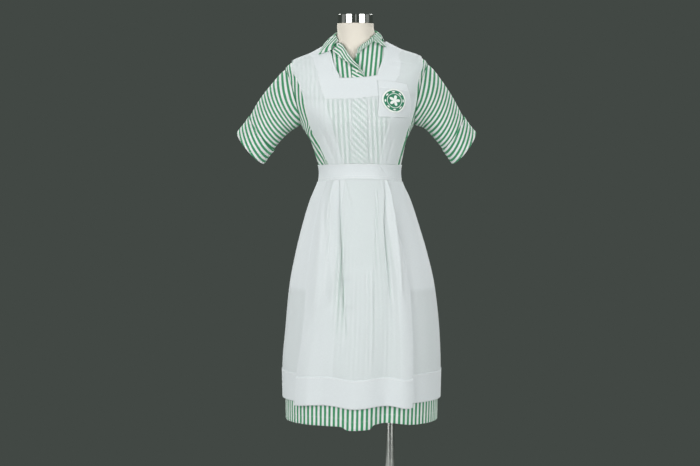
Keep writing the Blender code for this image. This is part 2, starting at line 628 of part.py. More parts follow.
def small_disc(name, centre, normal, radius, thickness, material, around=20, rim=0.0006):
    """A button or patch: a flat disc with eased edges, lying square to its normal."""
    normal = np.asarray(normal) / np.linalg.norm(normal)
    across = np.cross((0.0, 0.0, 1.0), normal)
    across /= np.linalg.norm(across)
    upward = np.cross(normal, across)
    turn = np.radians(np.arange(around) * 360.0 / around)
    rings = []
    for size, height in ((radius - rim, 0.0), (radius, rim), (radius, thickness - rim), (radius - rim, thickness)):
        rings.append([centre + size * (math.cos(a) * across + math.sin(a) * upward) + height * normal
                      for a in turn])
    return turned_solid(name, rings, material, sharp=True)


def place_on(theta, at, out):
    """A point off the dress and the direction square to the dress there."""
    here = dress_point(theta, at, out)
    return here, dress_point(theta, at, out + 0.01) - here


# The neck button, sewn on the band just under the lapel
button_centre, button_normal = place_on(0.25, 0.822, BAND_OUT + DOUBLE_WALL / 2 + SEAM_GAP)
small_disc("neck_button", button_centre, button_normal, 0.0045, 0.0020, BUTTON_RESIN, around=16)

# The apron bib with its two wide straps, cut square at the neck. Each row runs from the
# right outer edge to the right inner edge, and from the left inner edge to the left outer one.
BibRow = namedtuple("BibRow", "place right_outer right_inner left_inner left_outer")
BIB = (
    BibRow(0.0, (-89.9, 0.775), (-89.9, 0.955), (89.9, 0.955), (89.9, 0.765)),
    BibRow(1.0, (-78.5, 0.764), (-64.0, 0.945), (67.0, 0.948), (76.0, 0.751)),
    BibRow(2.0, (-60.0, 0.700), (-43.0, 0.925), (51.0, 0.930), (65.0, 0.700)),
    BibRow(3.0, (-51.0, 0.645), (-25.5, 0.872), (28.0, 0.865), (59.0, 0.655)),
    BibRow(4.0, (-47.0, 0.580), (-11.5, 0.742), (15.0, 0.751), (56.0, 0.592)),
    BibRow(5.0, (-46.5, 0.510), (-11.5, 0.620), (15.0, 0.625), (56.5, 0.525)),
    BibRow(6.0, (-51.0, 0.434), (-12.5, 0.500), (15.5, 0.505), (60.0, 0.450)),
    BibRow(7.0, (-55.5, 0.335), (-14.0, 0.370), (17.0, 0.372), (64.0, 0.367)),
    BibRow(8.0, (-52.5, 0.219), (-13.5, 0.225), (16.5, 0.225), (65.0, 0.225)),
    BibRow(9.0, (-43.5, 0.0730), (-11.5, 0.0730), (14.5, 0.0730), (55.5, 0.0730)),
)
BIB_OUT = 0.0052
BIB_SHOULDER_OUT = 0.0039
BIB_STEPS = (0.0, 0.5, 1.0, 1.5, 2.0, 2.5, 3.0, 3.5, 4.0, 4.5, 5.0, 5.5, 6.0, 6.5, 7.0, 7.5, 8.0, 8.5, 9.0)
STRAP_CELLS, CENTRE_CELLS = 4, 4
NECKLINE_ROW = BIB_STEPS.index(4.0)


def bib_corner(field, place):
    places = [row.place for row in BIB]
    return [float(curve(places, [getattr(row, field)[k] for row in BIB], place)) for k in (0, 1)]


def bib_out(theta, at):
    """The bib lies close over the shoulders and clears the front band lower down."""
    centre = smooth_step(34, 12, np.abs(theta))
    return BIB_SHOULDER_OUT + (BIB_OUT - BIB_SHOULDER_OUT) * centre * smooth_step(0.93, 0.80, at)


def bib_grid():
    grid = []
    for place in BIB_STEPS:
        corners = [bib_corner(field, place) for field in ("right_outer", "right_inner", "left_inner", "left_outer")]
        row = []
        for start, end, cells in ((0, 1, STRAP_CELLS), (1, 2, CENTRE_CELLS), (2, 3, STRAP_CELLS)):
            for k in range(cells):
                row.append([corners[start][i] + (corners[end][i] - corners[start][i]) * k / cells for i in (0, 1)])
        row.append(corners[3])
        row = np.array(row)
        grid.append(dress_point(row[:, 0], row[:, 1], bib_out(row[:, 0], row[:, 1])))
    return np.array(grid)


def bib_keeps(row, column):
    centre = STRAP_CELLS <= column < STRAP_CELLS + CENTRE_CELLS
    return row >= NECKLINE_ROW or not centre


cloth_panel("apron_bib", bib_grid()[:, ::-1], APRON_WALL, WHITE_COTTON, keep=bib_keeps)

# The back straps, from the shoulder seams down to the back of the waistband
StrapRow = namedtuple("StrapRow", "outer_theta outer_at inner_theta inner_at")
STRAP_OUT = 0.0042
STRAP = (
    StrapRow(90.1, 0.765, 90.1, 0.955),
    StrapRow(104.0, 0.752, 106.0, 0.944),
    StrapRow(118.0, 0.725, 126.0, 0.905),
    StrapRow(129.0, 0.672, 143.0, 0.830),
    StrapRow(137.0, 0.590, 155.0, 0.735),
    StrapRow(142.0, 0.490, 163.0, 0.610),
    StrapRow(146.0, 0.380, 168.0, 0.460),
    StrapRow(149.0, 0.270, 171.0, 0.310),
    StrapRow(151.0, 0.170, 172.5, 0.185),
    StrapRow(152.0, 0.073, 173.0, 0.073),
)


def strap_grid(side):
    grid = []
    for place in np.linspace(0, len(STRAP) - 1, 17):
        outer_theta, outer_at, inner_theta, inner_at = (
            float(curve(range(len(STRAP)), [getattr(row, field) for row in STRAP], place))
            for field in StrapRow._fields)
        shares = np.linspace(0, 1, 4)
        theta = outer_theta + (inner_theta - outer_theta) * shares
        at = outer_at + (inner_at - outer_at) * shares
        grid.append(dress_point(side * theta, at, STRAP_OUT))
    return np.array(grid)


cloth_panel("apron_strap_right", strap_grid(-1), APRON_WALL, WHITE_COTTON)
cloth_panel("apron_strap_left", strap_grid(1)[:, ::-1], APRON_WALL, WHITE_COTTON)


# The waistband: a double strip round the waist, its left end lapped over at the back
def band_out(theta):
    return 0.0026 + 0.0027 * smooth_step(34, 14, np.abs(theta))


def waistband_grid():
    ends = np.concatenate([np.arange(-176, -89, 8.6), np.arange(-84, 85, 7), np.arange(89.6, 169, 8.7), [172, 178, 184, 190, 196]])
    grid = []
    for at in (0.0690, 0.003, -0.064):
        out = band_out(ends) + 0.0032 * smooth_step(162, 178, ends)
        theta = np.array([signed_angle(angle) for angle in ends])
        grid.append(dress_point(theta, at, out))
    return np.array(grid)


cloth_panel("apron_waistband", waistband_grid()[::-1], APRON_DOUBLE_WALL, WHITE_COTTON)
button_centre, button_normal = place_on(-170.0, 0.004, 0.0058 + APRON_DOUBLE_WALL / 2 + 0.0024)
small_disc("apron_back_button", button_centre, button_normal, 0.0075, 0.0028, BUTTON_RESIN, around=16)

# The apron skirt: gathered into the waistband and open down the back. Two soft folds set the
# front panel forward of the sides. Columns marked by a fold turn under it and out again.
SkirtColumn = namedtuple("SkirtColumn", "angle fold layer")


def fold_angle(side, at):
    """Where the front panel's edge hangs, in degrees from centre front."""
    if side < 0:
        return curve((-0.735, -0.44, -0.06), (52.2, 44.8, 46.0), at)
    return curve((-0.735, -0.44, -0.06), (34.4, 31.1, 34.5), at)


def skirt_columns():
    """The apron skirt's columns from the back edge on the right to the back edge on the left."""
    columns = [SkirtColumn(-angle, 0, 0) for angle in (175, 164, 153, 142, 131, 120, 109, 98, 87, 76)]
    columns += [SkirtColumn(-share, -1, 0) for share in (0.35,)]
    columns += [SkirtColumn(0.0, -1, layer) for layer in (4, 3, 2, 1)]
    columns += [SkirtColumn(share, -1, -1) for share in (0.07, 0.22, 0.38, 0.54, 0.7, 0.85)]
    columns += [SkirtColumn(1.0, 0, -2)]
    columns += [SkirtColumn(share, 1, -1) for share in (0.8, 0.6, 0.42, 0.24, 0.07)]
    columns += [SkirtColumn(0.0, 1, layer) for layer in (1, 2, 3, 4)]
    columns += [SkirtColumn(-share, 1, 0) for share in (0.35,)]
    columns += [SkirtColumn(angle, 0, 0) for angle in (66, 76, 87, 98, 109, 120, 131, 142, 153, 164, 175)]
    return columns


def skirt_place(column, at):
    """The angle, the extra distance out and the share of the front panel at one height."""
    step = 0.0075 * float(smooth_step(-0.068, -0.13, at))
    tuck = -1.7 + 5.2 * float(smooth_step(-0.10, -0.24, at))
    if column.layer == -2:
        return 0.0, 0.0, 1.0
    if column.fold == 0:
        return float(column.angle), 0.0, 0.0
    edge = float(fold_angle(column.fold, at))
    if column.layer == 0:
        outer = 76.0 if column.fold < 0 else 66.0
        return column.fold * (edge + 4.0 + (outer - edge - 4.0) * abs(column.angle)), 0.0, 0.0
    if column.layer == -1:
        rise = float(smooth_step(0.55, 0.15, column.angle))
        return column.fold * edge * (1 - column.angle), step * rise, 1.0
    under = {1: 0.0, 2: tuck, 3: tuck, 4: min(tuck, 0.0) - 1.2}[column.layer]
    depth = {1: 0.0, 2: 0.45, 3: 0.85, 4: 1.0}[column.layer]
    share = {1: 1.0, 2: 0.85, 3: 0.30, 4: 0.0}[column.layer]
    return column.fold * (edge - under), step * (1 - depth), share


def apron_skirt_grid(heights):
    columns = skirt_columns()
    grid = []
    for at in heights:
        theta, out, share = np.array([skirt_place(column, at) for column in columns]).T
        grid.append(apron_point(theta, at, out, share))
    return np.array(grid)


APRON_HEIGHTS = (-0.0650, -0.082, -0.105, -0.13, -0.165, -0.21, -0.27, -0.36, -0.46, -0.56, -0.6482)
HEM_HEIGHTS = (-0.6498, -0.70, -0.7350)
cloth_panel("apron_skirt", apron_skirt_grid(APRON_HEIGHTS[::-1]), APRON_WALL, WHITE_COTTON)
cloth_panel("apron_hem", apron_skirt_grid(HEM_HEIGHTS[::-1]), APRON_DOUBLE_WALL, WHITE_COTTON)

# The bib pocket on the wearer's left, and the round patch sewn on it
POCKET_CORNERS = ((13.5, 0.690), (43.5, 0.622), (54.5, 0.434), (16.0, 0.420))
PATCH_PLACE = (29.0, 0.533)


def pocket_grid():
    top_in, top_out, low_out, low_in = (np.array(corner) for corner in POCKET_CORNERS)
    grid = []
    for down in np.linspace(1, 0, 6):
        inner = top_in + (low_in - top_in) * down
        outer = top_out + (low_out - top_out) * down
        places = np.array([inner + (outer - inner) * across for across in np.linspace(0, 1, 6)])
        out = bib_out(places[:, 0], places[:, 1]) + 0.0026
        grid.append(dress_point(places[:, 0], places[:, 1], out))
    return np.array(grid)


cloth_panel("bib_pocket", pocket_grid(), 0.0014, WHITE_COTTON)


def patch_grid():
    """The patch follows the pocket: rings of a disc set out in the plane square to the bib."""
    here = dress_point(*PATCH_PLACE)
    across = (dress_point(PATCH_PLACE[0] + 1, PATCH_PLACE[1]) - here)
    along = (dress_point(PATCH_PLACE[0], PATCH_PLACE[1] + 0.01) - here) / 0.01
    right = np.array([across[0], across[1], 0.0])
    right /= np.linalg.norm(right)
    upward = np.cross(np.cross(across, along), right)
    upward /= np.linalg.norm(upward)
    grid = []
    for radius in (0.0010, 0.018, 0.035):
        ring = []
        for turn in np.radians(np.arange(20) * 18.0):
            reach = radius * (math.cos(turn) * right + math.sin(turn) * upward)
            steps = np.linalg.lstsq(np.stack([across, along], axis=1), reach, rcond=None)[0]
            theta, at = PATCH_PLACE[0] + steps[0], PATCH_PLACE[1] + steps[1]
            ring.append(dress_point(theta, at, float(bib_out(theta, at)) + 0.0050))
        grid.append(ring)
    return np.array(grid)


def patch_disc():
    rings = patch_grid()
    rows, around = rings.shape[:2]
    points = list(rings.reshape(-1, 3)) + [rings[0].mean(axis=0)]
    faces = [(rows * around, k, (k + 1) % around) for k in range(around)]
    for row in range(rows - 1):
        for k in range(around):
            after = (k + 1) % around
            faces.append((row * around + k, (row + 1) * around + k,
                          (row + 1) * around + after, row * around + after))
    item = add_mesh("pocket_patch", points, faces, PATCH_TWILL)
    thicken = item.modifiers.new("wall", "SOLIDIFY")
    thicken.thickness = 0.0014
    thicken.offset = 0.0


patch_disc()
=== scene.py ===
# A nurse uniform shown on a limbless dress form: a green and white striped cotton dress with
# short sleeves, and a sheer white cotton apron with a bib, a pocket and a gathered skirt.
# Metres, +Z up. The wearer faces -Y and the wearer's left is +X.
import math
from collections import namedtuple

import bpy
import numpy as np
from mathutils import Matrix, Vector


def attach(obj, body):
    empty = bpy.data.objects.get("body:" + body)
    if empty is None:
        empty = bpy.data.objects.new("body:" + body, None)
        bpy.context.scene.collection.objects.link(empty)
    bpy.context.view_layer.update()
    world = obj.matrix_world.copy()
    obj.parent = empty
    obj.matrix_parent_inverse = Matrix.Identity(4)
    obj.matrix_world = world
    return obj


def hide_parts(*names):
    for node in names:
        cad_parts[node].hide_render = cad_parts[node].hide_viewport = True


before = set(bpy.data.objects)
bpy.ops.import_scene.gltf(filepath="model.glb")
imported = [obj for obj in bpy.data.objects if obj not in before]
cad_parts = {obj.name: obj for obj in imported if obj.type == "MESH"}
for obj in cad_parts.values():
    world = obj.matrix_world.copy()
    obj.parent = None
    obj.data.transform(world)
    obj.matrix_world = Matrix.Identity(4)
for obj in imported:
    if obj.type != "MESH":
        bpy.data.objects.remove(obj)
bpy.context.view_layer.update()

# The stand: a flat round base, a straight pole and a flange under the form. Steel turned and
# tubed, polished and chromium plated, so it shows the studio as bright and dark bands.
BASE_PROFILE = ((0.0, 0.0), (0.1885, 0.0), (0.1897, 0.0006), (0.190, 0.0016), (0.190, 0.0052),
                (0.1894, 0.0066), (0.1880, 0.0075), (0.1860, 0.0080), (0.0, 0.0080))
POLE_X = 0.1005
POLE_PROFILE = ((0.0, 0.0083), (0.0136, 0.0083), (0.0140, 0.0087), (0.0140, 0.6891), (0.0136, 0.6895),
                (0.0, 0.6895))
FLANGE_PROFILE = ((0.0, 0.6898), (0.0215, 0.6898), (0.0240, 0.6904), (0.0375, 0.6932), (0.0380, 0.6940),
                  (0.0380, 0.6992), (0.0375, 0.6997), (0.0, 0.6997))
CHROME_COLOUR = "#D6D8D4"


def linear(hex_colour):
    """An sRGB hex colour as linear red, green, blue and a full alpha."""
    parts = [int(hex_colour[i:i + 2], 16) / 255 for i in (1, 3, 5)]
    return tuple(c / 12.92 if c <= 0.04045 else ((c + 0.055) / 1.055) ** 2.4 for c in parts) + (1.0,)


def start_material(name):
    """A new material, and its shader node."""
    material = bpy.data.materials.new(name)
    material.use_nodes = True
    return material, material.node_tree.nodes["Principled BSDF"]


def add_node(material, kind, settings, **inputs):
    """Adds a node with its settings. An input is a value, or a pair of a node and its output."""
    node = material.node_tree.nodes.new("ShaderNode" + kind)
    for key, value in settings.items():
        setattr(node, key, value)
    for key, value in inputs.items():
        socket = node.inputs[int(key[1:])] if key[1:].isdigit() else node.inputs[key.replace("_", " ")]
        if isinstance(value, tuple) and isinstance(value[0], bpy.types.Node):
            material.node_tree.links.new(value[0].outputs[value[1]], socket)
        else:
            socket.default_value = value
    return node


def link(material, node, output, shader, socket):
    material.node_tree.links.new(node.outputs[output], shader.inputs[socket])


def toned_relief(material, shader, colour, tone, height, strength, depth=0.0004):
    """Multiplies a colour by a tone, and raises a fine relief as bump."""
    toned = add_node(material, "Mix", {"data_type": "RGBA", "blend_type": "MULTIPLY"}, Factor=1.0,
                     _6=colour, _7=tone)
    link(material, toned, 2, shader, "Base Color")
    relief = add_node(material, "Bump", {}, Height=height, Strength=strength, Distance=depth)
    link(material, relief, "Normal", shader, "Normal")


def put_piece(name, points, faces, material, replaced, sharp_angle=None):
    """Makes a mesh object, rides it on the body and hides the CAD nodes it stands for."""
    mesh = bpy.data.meshes.new(name)
    mesh.from_pydata(np.asarray(points).tolist(), [], [list(face) for face in faces])
    mesh.validate()
    mesh.shade_smooth()
    if sharp_angle:
        mesh.set_sharp_from_angle(angle=math.radians(sharp_angle))
    mesh.materials.append(material)
    piece = bpy.data.objects.new(name, mesh)
    bpy.context.collection.objects.link(piece)
    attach(piece, "root")
    if replaced:
        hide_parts(*replaced)
    return piece


def ring_faces(count, around):
    """Joins a stack of rings and closes its ends, whose middles are the two points after the rings."""
    k = np.arange(around)
    after = (k + 1) % around
    low = (np.arange(count - 1) * around)[:, None]
    last = count * around
    sides = np.stack([low + k, low + after, low + around + after, low + around + k], axis=-1)
    bottom = np.stack([np.full(around, last), after, k], axis=1)
    top = np.stack([np.full(around, last + 1), last - around + k, last - around + after], axis=1)
    return sides.reshape(-1, 4).tolist() + bottom.tolist() + top.tolist()


def turned(name, profile, centre, material, replaced, around=96):
    """A profile of radius and height pairs turned about an upright axis, closed at its two ends."""
    turn = np.radians(np.arange(around) * 360.0 / around)
    profile = np.array(profile)
    rings = np.stack([centre[0] + profile[1:-1, :1] * np.cos(turn), centre[1] + profile[1:-1, :1] * np.sin(turn),
                      np.broadcast_to(profile[1:-1, 1:], (len(profile) - 2, around))], axis=-1)
    ends = np.array([[centre[0], centre[1], profile[0, 1]], [centre[0], centre[1], profile[-1, 1]]])
    points = np.concatenate([rings.reshape(-1, 3), ends])
    faces = ring_faces(len(rings), around)
    return put_piece(name, points, faces, material, replaced, sharp_angle=40)


# Chromium plate on polished steel: mirror bright, with faint lines round from the turning
chrome, shader = start_material("polished chrome plate")
shader.inputs["Metallic"].default_value = 1.0
shader.inputs["Base Color"].default_value = linear(CHROME_COLOUR)
place = add_node(chrome, "TexCoord", {})
stretch = add_node(chrome, "Mapping", {}, Vector=(place, "Object"), Scale=(3.0, 3.0, 900.0))
lines = add_node(chrome, "TexNoise", {}, Vector=(stretch, "Vector"), Scale=4.0, Detail=2.0)
rough = add_node(chrome, "MapRange", {}, Value=(lines, "Fac"), To_Min=0.06, To_Max=0.15)
link(chrome, rough, "Result", shader, "Roughness")

# The pole's plate is worn by handling, so it shines less
satin_chrome = chrome.copy()
satin_chrome.name = "worn chrome plate"
for node in satin_chrome.node_tree.nodes:
    if node.type == "MAP_RANGE":
        node.inputs["To Min"].default_value = 0.18
        node.inputs["To Max"].default_value = 0.26

turned("stand_base_disc", BASE_PROFILE, (0.0, 0.0), chrome, ["stand_base"], around=160)
turned("stand_pole_tube", POLE_PROFILE, (POLE_X, 0.0), satin_chrome, ["stand_pole"], around=64)
turned("pole_flange_plate", FLANGE_PROFILE, (POLE_X, 0.0), chrome, ["pole_flange"], around=96)

# The dress: a stack of rounded sections from the hem to the neck. Plain woven cotton, yarn dyed
# in green and white stripes. at is the place in the stack, theta the angle from centre front.
Section = namedtuple("Section", "name at z_side z_front z_back half_width front_depth back_depth centre_x")
DRESS = (
    Section("hem", -0.8025, 0.2965, 0.2940, 0.2975, 0.2356, 0.188, 0.186, 0.0110),
    Section("above_hem", -0.740, 0.3600, 0.3575, 0.3600, 0.2368, 0.190, 0.187, 0.0110),
    Section("knee", -0.641, 0.4590, 0.4570, 0.4590, 0.2385, 0.191, 0.186, 0.0110),
    Section("thigh", -0.517, 0.5830, 0.5820, 0.5830, 0.2310, 0.187, 0.181, 0.0135),
    Section("seat", -0.393, 0.7070, 0.7065, 0.7070, 0.2180, 0.177, 0.172, 0.0125),
    Section("hip", -0.294, 0.8060, 0.8060, 0.8060, 0.1975, 0.162, 0.159, 0.0105),
    Section("high_hip", -0.195, 0.9045, 0.9055, 0.9050, 0.1705, 0.142, 0.139, 0.0080),
    Section("pleat_top", -0.120, 0.9780, 0.9820, 0.9800, 0.1475, 0.122, 0.114, 0.0070),
    Section("below_waist", -0.06, 1.032, 1.043, 1.040, 0.1265, 0.103, 0.091, 0.0060),
    Section("waist", 0.00, 1.058, 1.066, 1.060, 0.1240, 0.098, 0.086, 0.0060),
    Section("ribs", 0.15, 1.110, 1.115, 1.110, 0.1345, 0.108, 0.090, 0.0040),
    Section("under_bust", 0.27, 1.160, 1.165, 1.160, 0.1485, 0.120, 0.097, 0.0010),
    Section("armpit", 0.40, 1.209, 1.222, 1.215, 0.1750, 0.130, 0.106, -0.0020),
    Section("chest", 0.55, 1.290, 1.280, 1.290, 0.2100, 0.124, 0.114, -0.0040),
    Section("dropped_tip", 0.70, 1.385, 1.335, 1.362, 0.2185, 0.106, 0.108, -0.0047),
    Section("shoulder_tip", 0.76, 1.406, 1.352, 1.385, 0.1990, 0.100, 0.104, -0.0047),
    Section("shoulder_mid", 0.88, 1.432, 1.380, 1.428, 0.1350, 0.086, 0.092, -0.0047),
    Section("neck", 1.00, 1.468, 1.400, 1.472, 0.0720, 0.069, 0.069, -0.0047),
    Section("neck_top", 1.15, 1.476, 1.432, 1.487, 0.0660, 0.0645, 0.066, -0.0047),
)
ROUNDNESS = 0.85
BUST_RISE = 0.012
SHOULDER_LEAN = 0.036
SEAM_GAP = 0.0003
DRESS_WALL = 0.0009
DRESS_GREEN = "#3E8F64"
DRESS_WHITE = "#E2E5E4"
STRIPE_PERIOD = 0.0143
GREEN_WIDTH = 0.0071
THREAD_SPACING = 0.0011


def curve(knots, values, at):
    """A smooth curve through the knots that never overshoots them (monotone cubic).

    values may hold a column for each of several curves.
    """
    knots = np.asarray(knots, dtype=float)
    values = np.asarray(values, dtype=float)
    at = np.clip(np.asarray(at, dtype=float), knots[0], knots[-1])
    spread = (slice(None),) + (None,) * (values.ndim - 1)
    run = np.diff(knots)
    slope = np.diff(values, axis=0) / run[spread]
    tangent = np.zeros_like(values)
    tangent[0], tangent[-1] = slope[0], slope[-1]
    before, after = (2 * run[1:] + run[:-1])[spread], (run[1:] + 2 * run[:-1])[spread]
    same = slope[:-1] * slope[1:] > 0
    low, high = np.where(same, slope[:-1], 1.0), np.where(same, slope[1:], 1.0)
    tangent[1:-1] = np.where(same, (before + after) / (before / low + after / high), 0.0)
    k = np.clip(np.searchsorted(knots, at, side="right") - 1, 0, len(run) - 1)
    tail = (Ellipsis,) + (None,) * (values.ndim - 1)
    t, step = ((at - knots[k]) / run[k])[tail], run[k][tail]
    start = (1 + 2 * t) * (1 - t) ** 2 * values[k] + t * (1 - t) ** 2 * step * tangent[k]
    end = t * t * (3 - 2 * t) * values[k + 1] + t * t * (t - 1) * step * tangent[k + 1]
    return start + end


def smooth_step(start, end, value):
    """0 before start, 1 after end, and an even rise between them."""
    t = np.clip((np.asarray(value, dtype=float) - start) / (end - start), 0, 1)
    return t * t * (3 - 2 * t)


def signed_power(value, power):
    return np.sign(value) * np.abs(value) ** power


def section_value(field, at):
    return curve([s.at for s in DRESS], [getattr(s, field) for s in DRESS], at)


def body_surface(theta, at):
    """The dress body: rounded sections stacked up, swelled at the bust and leaned to one side."""
    theta, at = np.broadcast_arrays(np.asarray(theta, dtype=float), np.asarray(at, dtype=float))
    side, ahead = np.sin(np.radians(theta)), np.cos(np.radians(theta))
    centre = section_value("centre_x", at)
    x = centre + section_value("half_width", at) * signed_power(side, ROUNDNESS)
    depth = np.where(ahead > 0, section_value("front_depth", at), section_value("back_depth", at))
    y = -depth * signed_power(ahead, ROUNDNESS)
    y = y - BUST_RISE * np.exp(-((np.abs(theta) - 30) / 19) ** 2 - ((at - 0.42) / 0.13) ** 2)
    middle = np.where(ahead > 0, section_value("z_front", at), section_value("z_back", at))
    sharpness = 2 - 1.1 * smooth_step(0.80, 1.00, at) * smooth_step(-0.1, 0.3, ahead)
    toward_side = np.abs(side) ** sharpness
    z = middle + (section_value("z_side", at) - middle) * toward_side
    z = z + SHOULDER_LEAN * (x - centre) * smooth_step(0.30, 0.70, at)
    return np.stack([x, y, z], axis=-1)


def body_point(theta, at, out=0.0):
    """A point out metres outside the dress body's middle surface."""
    point = body_surface(theta, at)
    theta, at, out = (np.asarray(value, dtype=float) for value in (theta, at, out))
    around = body_surface(theta + 1.0, at) - body_surface(theta - 1.0, at)
    upward = body_surface(theta, at + 0.004) - body_surface(theta, at - 0.004)
    normal = np.cross(around, upward)
    normal = normal / np.linalg.norm(normal, axis=-1, keepdims=True)
    return point + normal * out[..., None]


def bump(theta, centre, width):
    return np.exp(-((theta - centre) / width) ** 2)


def fold_relief(theta, at):
    """How far the skirts' soft folds stand out at a place, before the wrap of the front panel."""
    low = smooth_step(-0.07, -0.20, at)
    valley = bump(theta, -curve((-0.80, -0.42, -0.06), (9.0, 11.0, 26.5), at), 4.5)
    valley = valley + 0.8 * bump(theta, curve((-0.80, -0.30, -0.06), (21.0, 19.5, 31.6), at), 4.5)
    short = bump(theta, -curve((-0.30, -0.06), (26.0, 43.0), at), 4.0) * smooth_step(-0.34, -0.20, at)
    ridge = bump(theta, -curve((-0.80, -0.06), (24.0, 35.0), at), 8) + 0.7 * bump(theta, 28.0, 6)
    fading = smooth_step(-0.56, -0.40, at)
    hem = smooth_step(-0.40, -0.72, at)
    wave = 0.010 * bump(theta, -3, 9) - 0.004 * bump(theta, -27, 9)
    wave = wave - 0.006 * bump(theta, 14, 7) + 0.004 * bump(theta, 28, 7)
    back = 0.006 * np.cos(np.radians(theta * 9)) * smooth_step(95, 120, np.abs(theta))
    return low * (fading * (0.006 * ridge - 0.007 * valley - 0.004 * short) + back) + hem * wave


def dress_point(theta, at, out=0.0):
    """The dress's middle surface with its skirt folds, moved out metres."""
    theta, at = np.broadcast_arrays(np.asarray(theta, dtype=float), np.asarray(at, dtype=float))
    near_hem = smooth_step(-0.60, -0.80, at)
    flare = 0.005 * bump(theta, -2, 6) - 0.009 * bump(theta, 12, 5)
    point = body_point(theta, at, out + 0.7 * fold_relief(theta, at) + near_hem * flare)
    drop = 0.011 * (smooth_step(-13, -7, theta) - smooth_step(3.5, 6.5, theta)) - 0.010 * bump(theta, 17, 13)
    point[..., 2] -= near_hem * drop
    return point


def signed_angle(theta):
    return (np.asarray(theta, dtype=float) + 180) % 360 - 180


# How far round the cloth a place is, measured on the body from centre front
ARC_ANGLES = np.arange(0, 181, 2.0)
ARC_HEIGHTS = np.linspace(DRESS[0].at, 1.15, 200)
arc_points = body_surface(ARC_ANGLES[:, None], ARC_HEIGHTS[None, :])
arc_steps = np.linalg.norm(np.diff(arc_points, axis=0), axis=-1)
ARC_LENGTHS = np.concatenate([np.zeros((1, len(ARC_HEIGHTS))), np.cumsum(arc_steps, axis=0)])


def cloth_across(theta, at):
    """The length round the body from centre front, read from the table of lengths."""
    theta, at = np.broadcast_arrays(np.asarray(theta, dtype=float), np.asarray(at, dtype=float))
    column = np.clip(np.abs(theta) / 2.0, 0, len(ARC_ANGLES) - 1.001)
    row = np.clip((at - ARC_HEIGHTS[0]) / (ARC_HEIGHTS[1] - ARC_HEIGHTS[0]), 0, len(ARC_HEIGHTS) - 1.001)
    i, j = column.astype(int), row.astype(int)
    s, t = column - i, row - j
    low = ARC_LENGTHS[i, j] * (1 - s) + ARC_LENGTHS[i + 1, j] * s
    high = ARC_LENGTHS[i, j + 1] * (1 - s) + ARC_LENGTHS[i + 1, j + 1] * s
    return np.sign(theta) * (low * (1 - t) + high * t)


def cloth_up(at):
    """The length of cloth up the body from the waist."""
    return np.where(np.asarray(at) < 0, at, 0.43 * np.asarray(at))


# A crease runs straight from one place on the body to another. width and height in millimetres.
Crease = namedtuple("Crease", "theta at to_theta to_at width height")


def crease_relief(points, creases, place):
    """The height of soft creases: a bell across each one that fades towards its two ends."""
    relief = np.zeros(points.shape[:-1])
    for crease in creases:
        start, end = place(crease.theta, crease.at), place(crease.to_theta, crease.to_at)
        line = end - start
        share = np.clip(((points - start) @ line) / (line @ line), 0, 1)
        reach = np.linalg.norm(points - start - share[..., None] * line, axis=-1) * 1000
        relief += crease.height / 1000 * np.exp(-(reach / crease.width) ** 2) * np.sin(np.pi * (0.1 + 0.8 * share))
    return relief


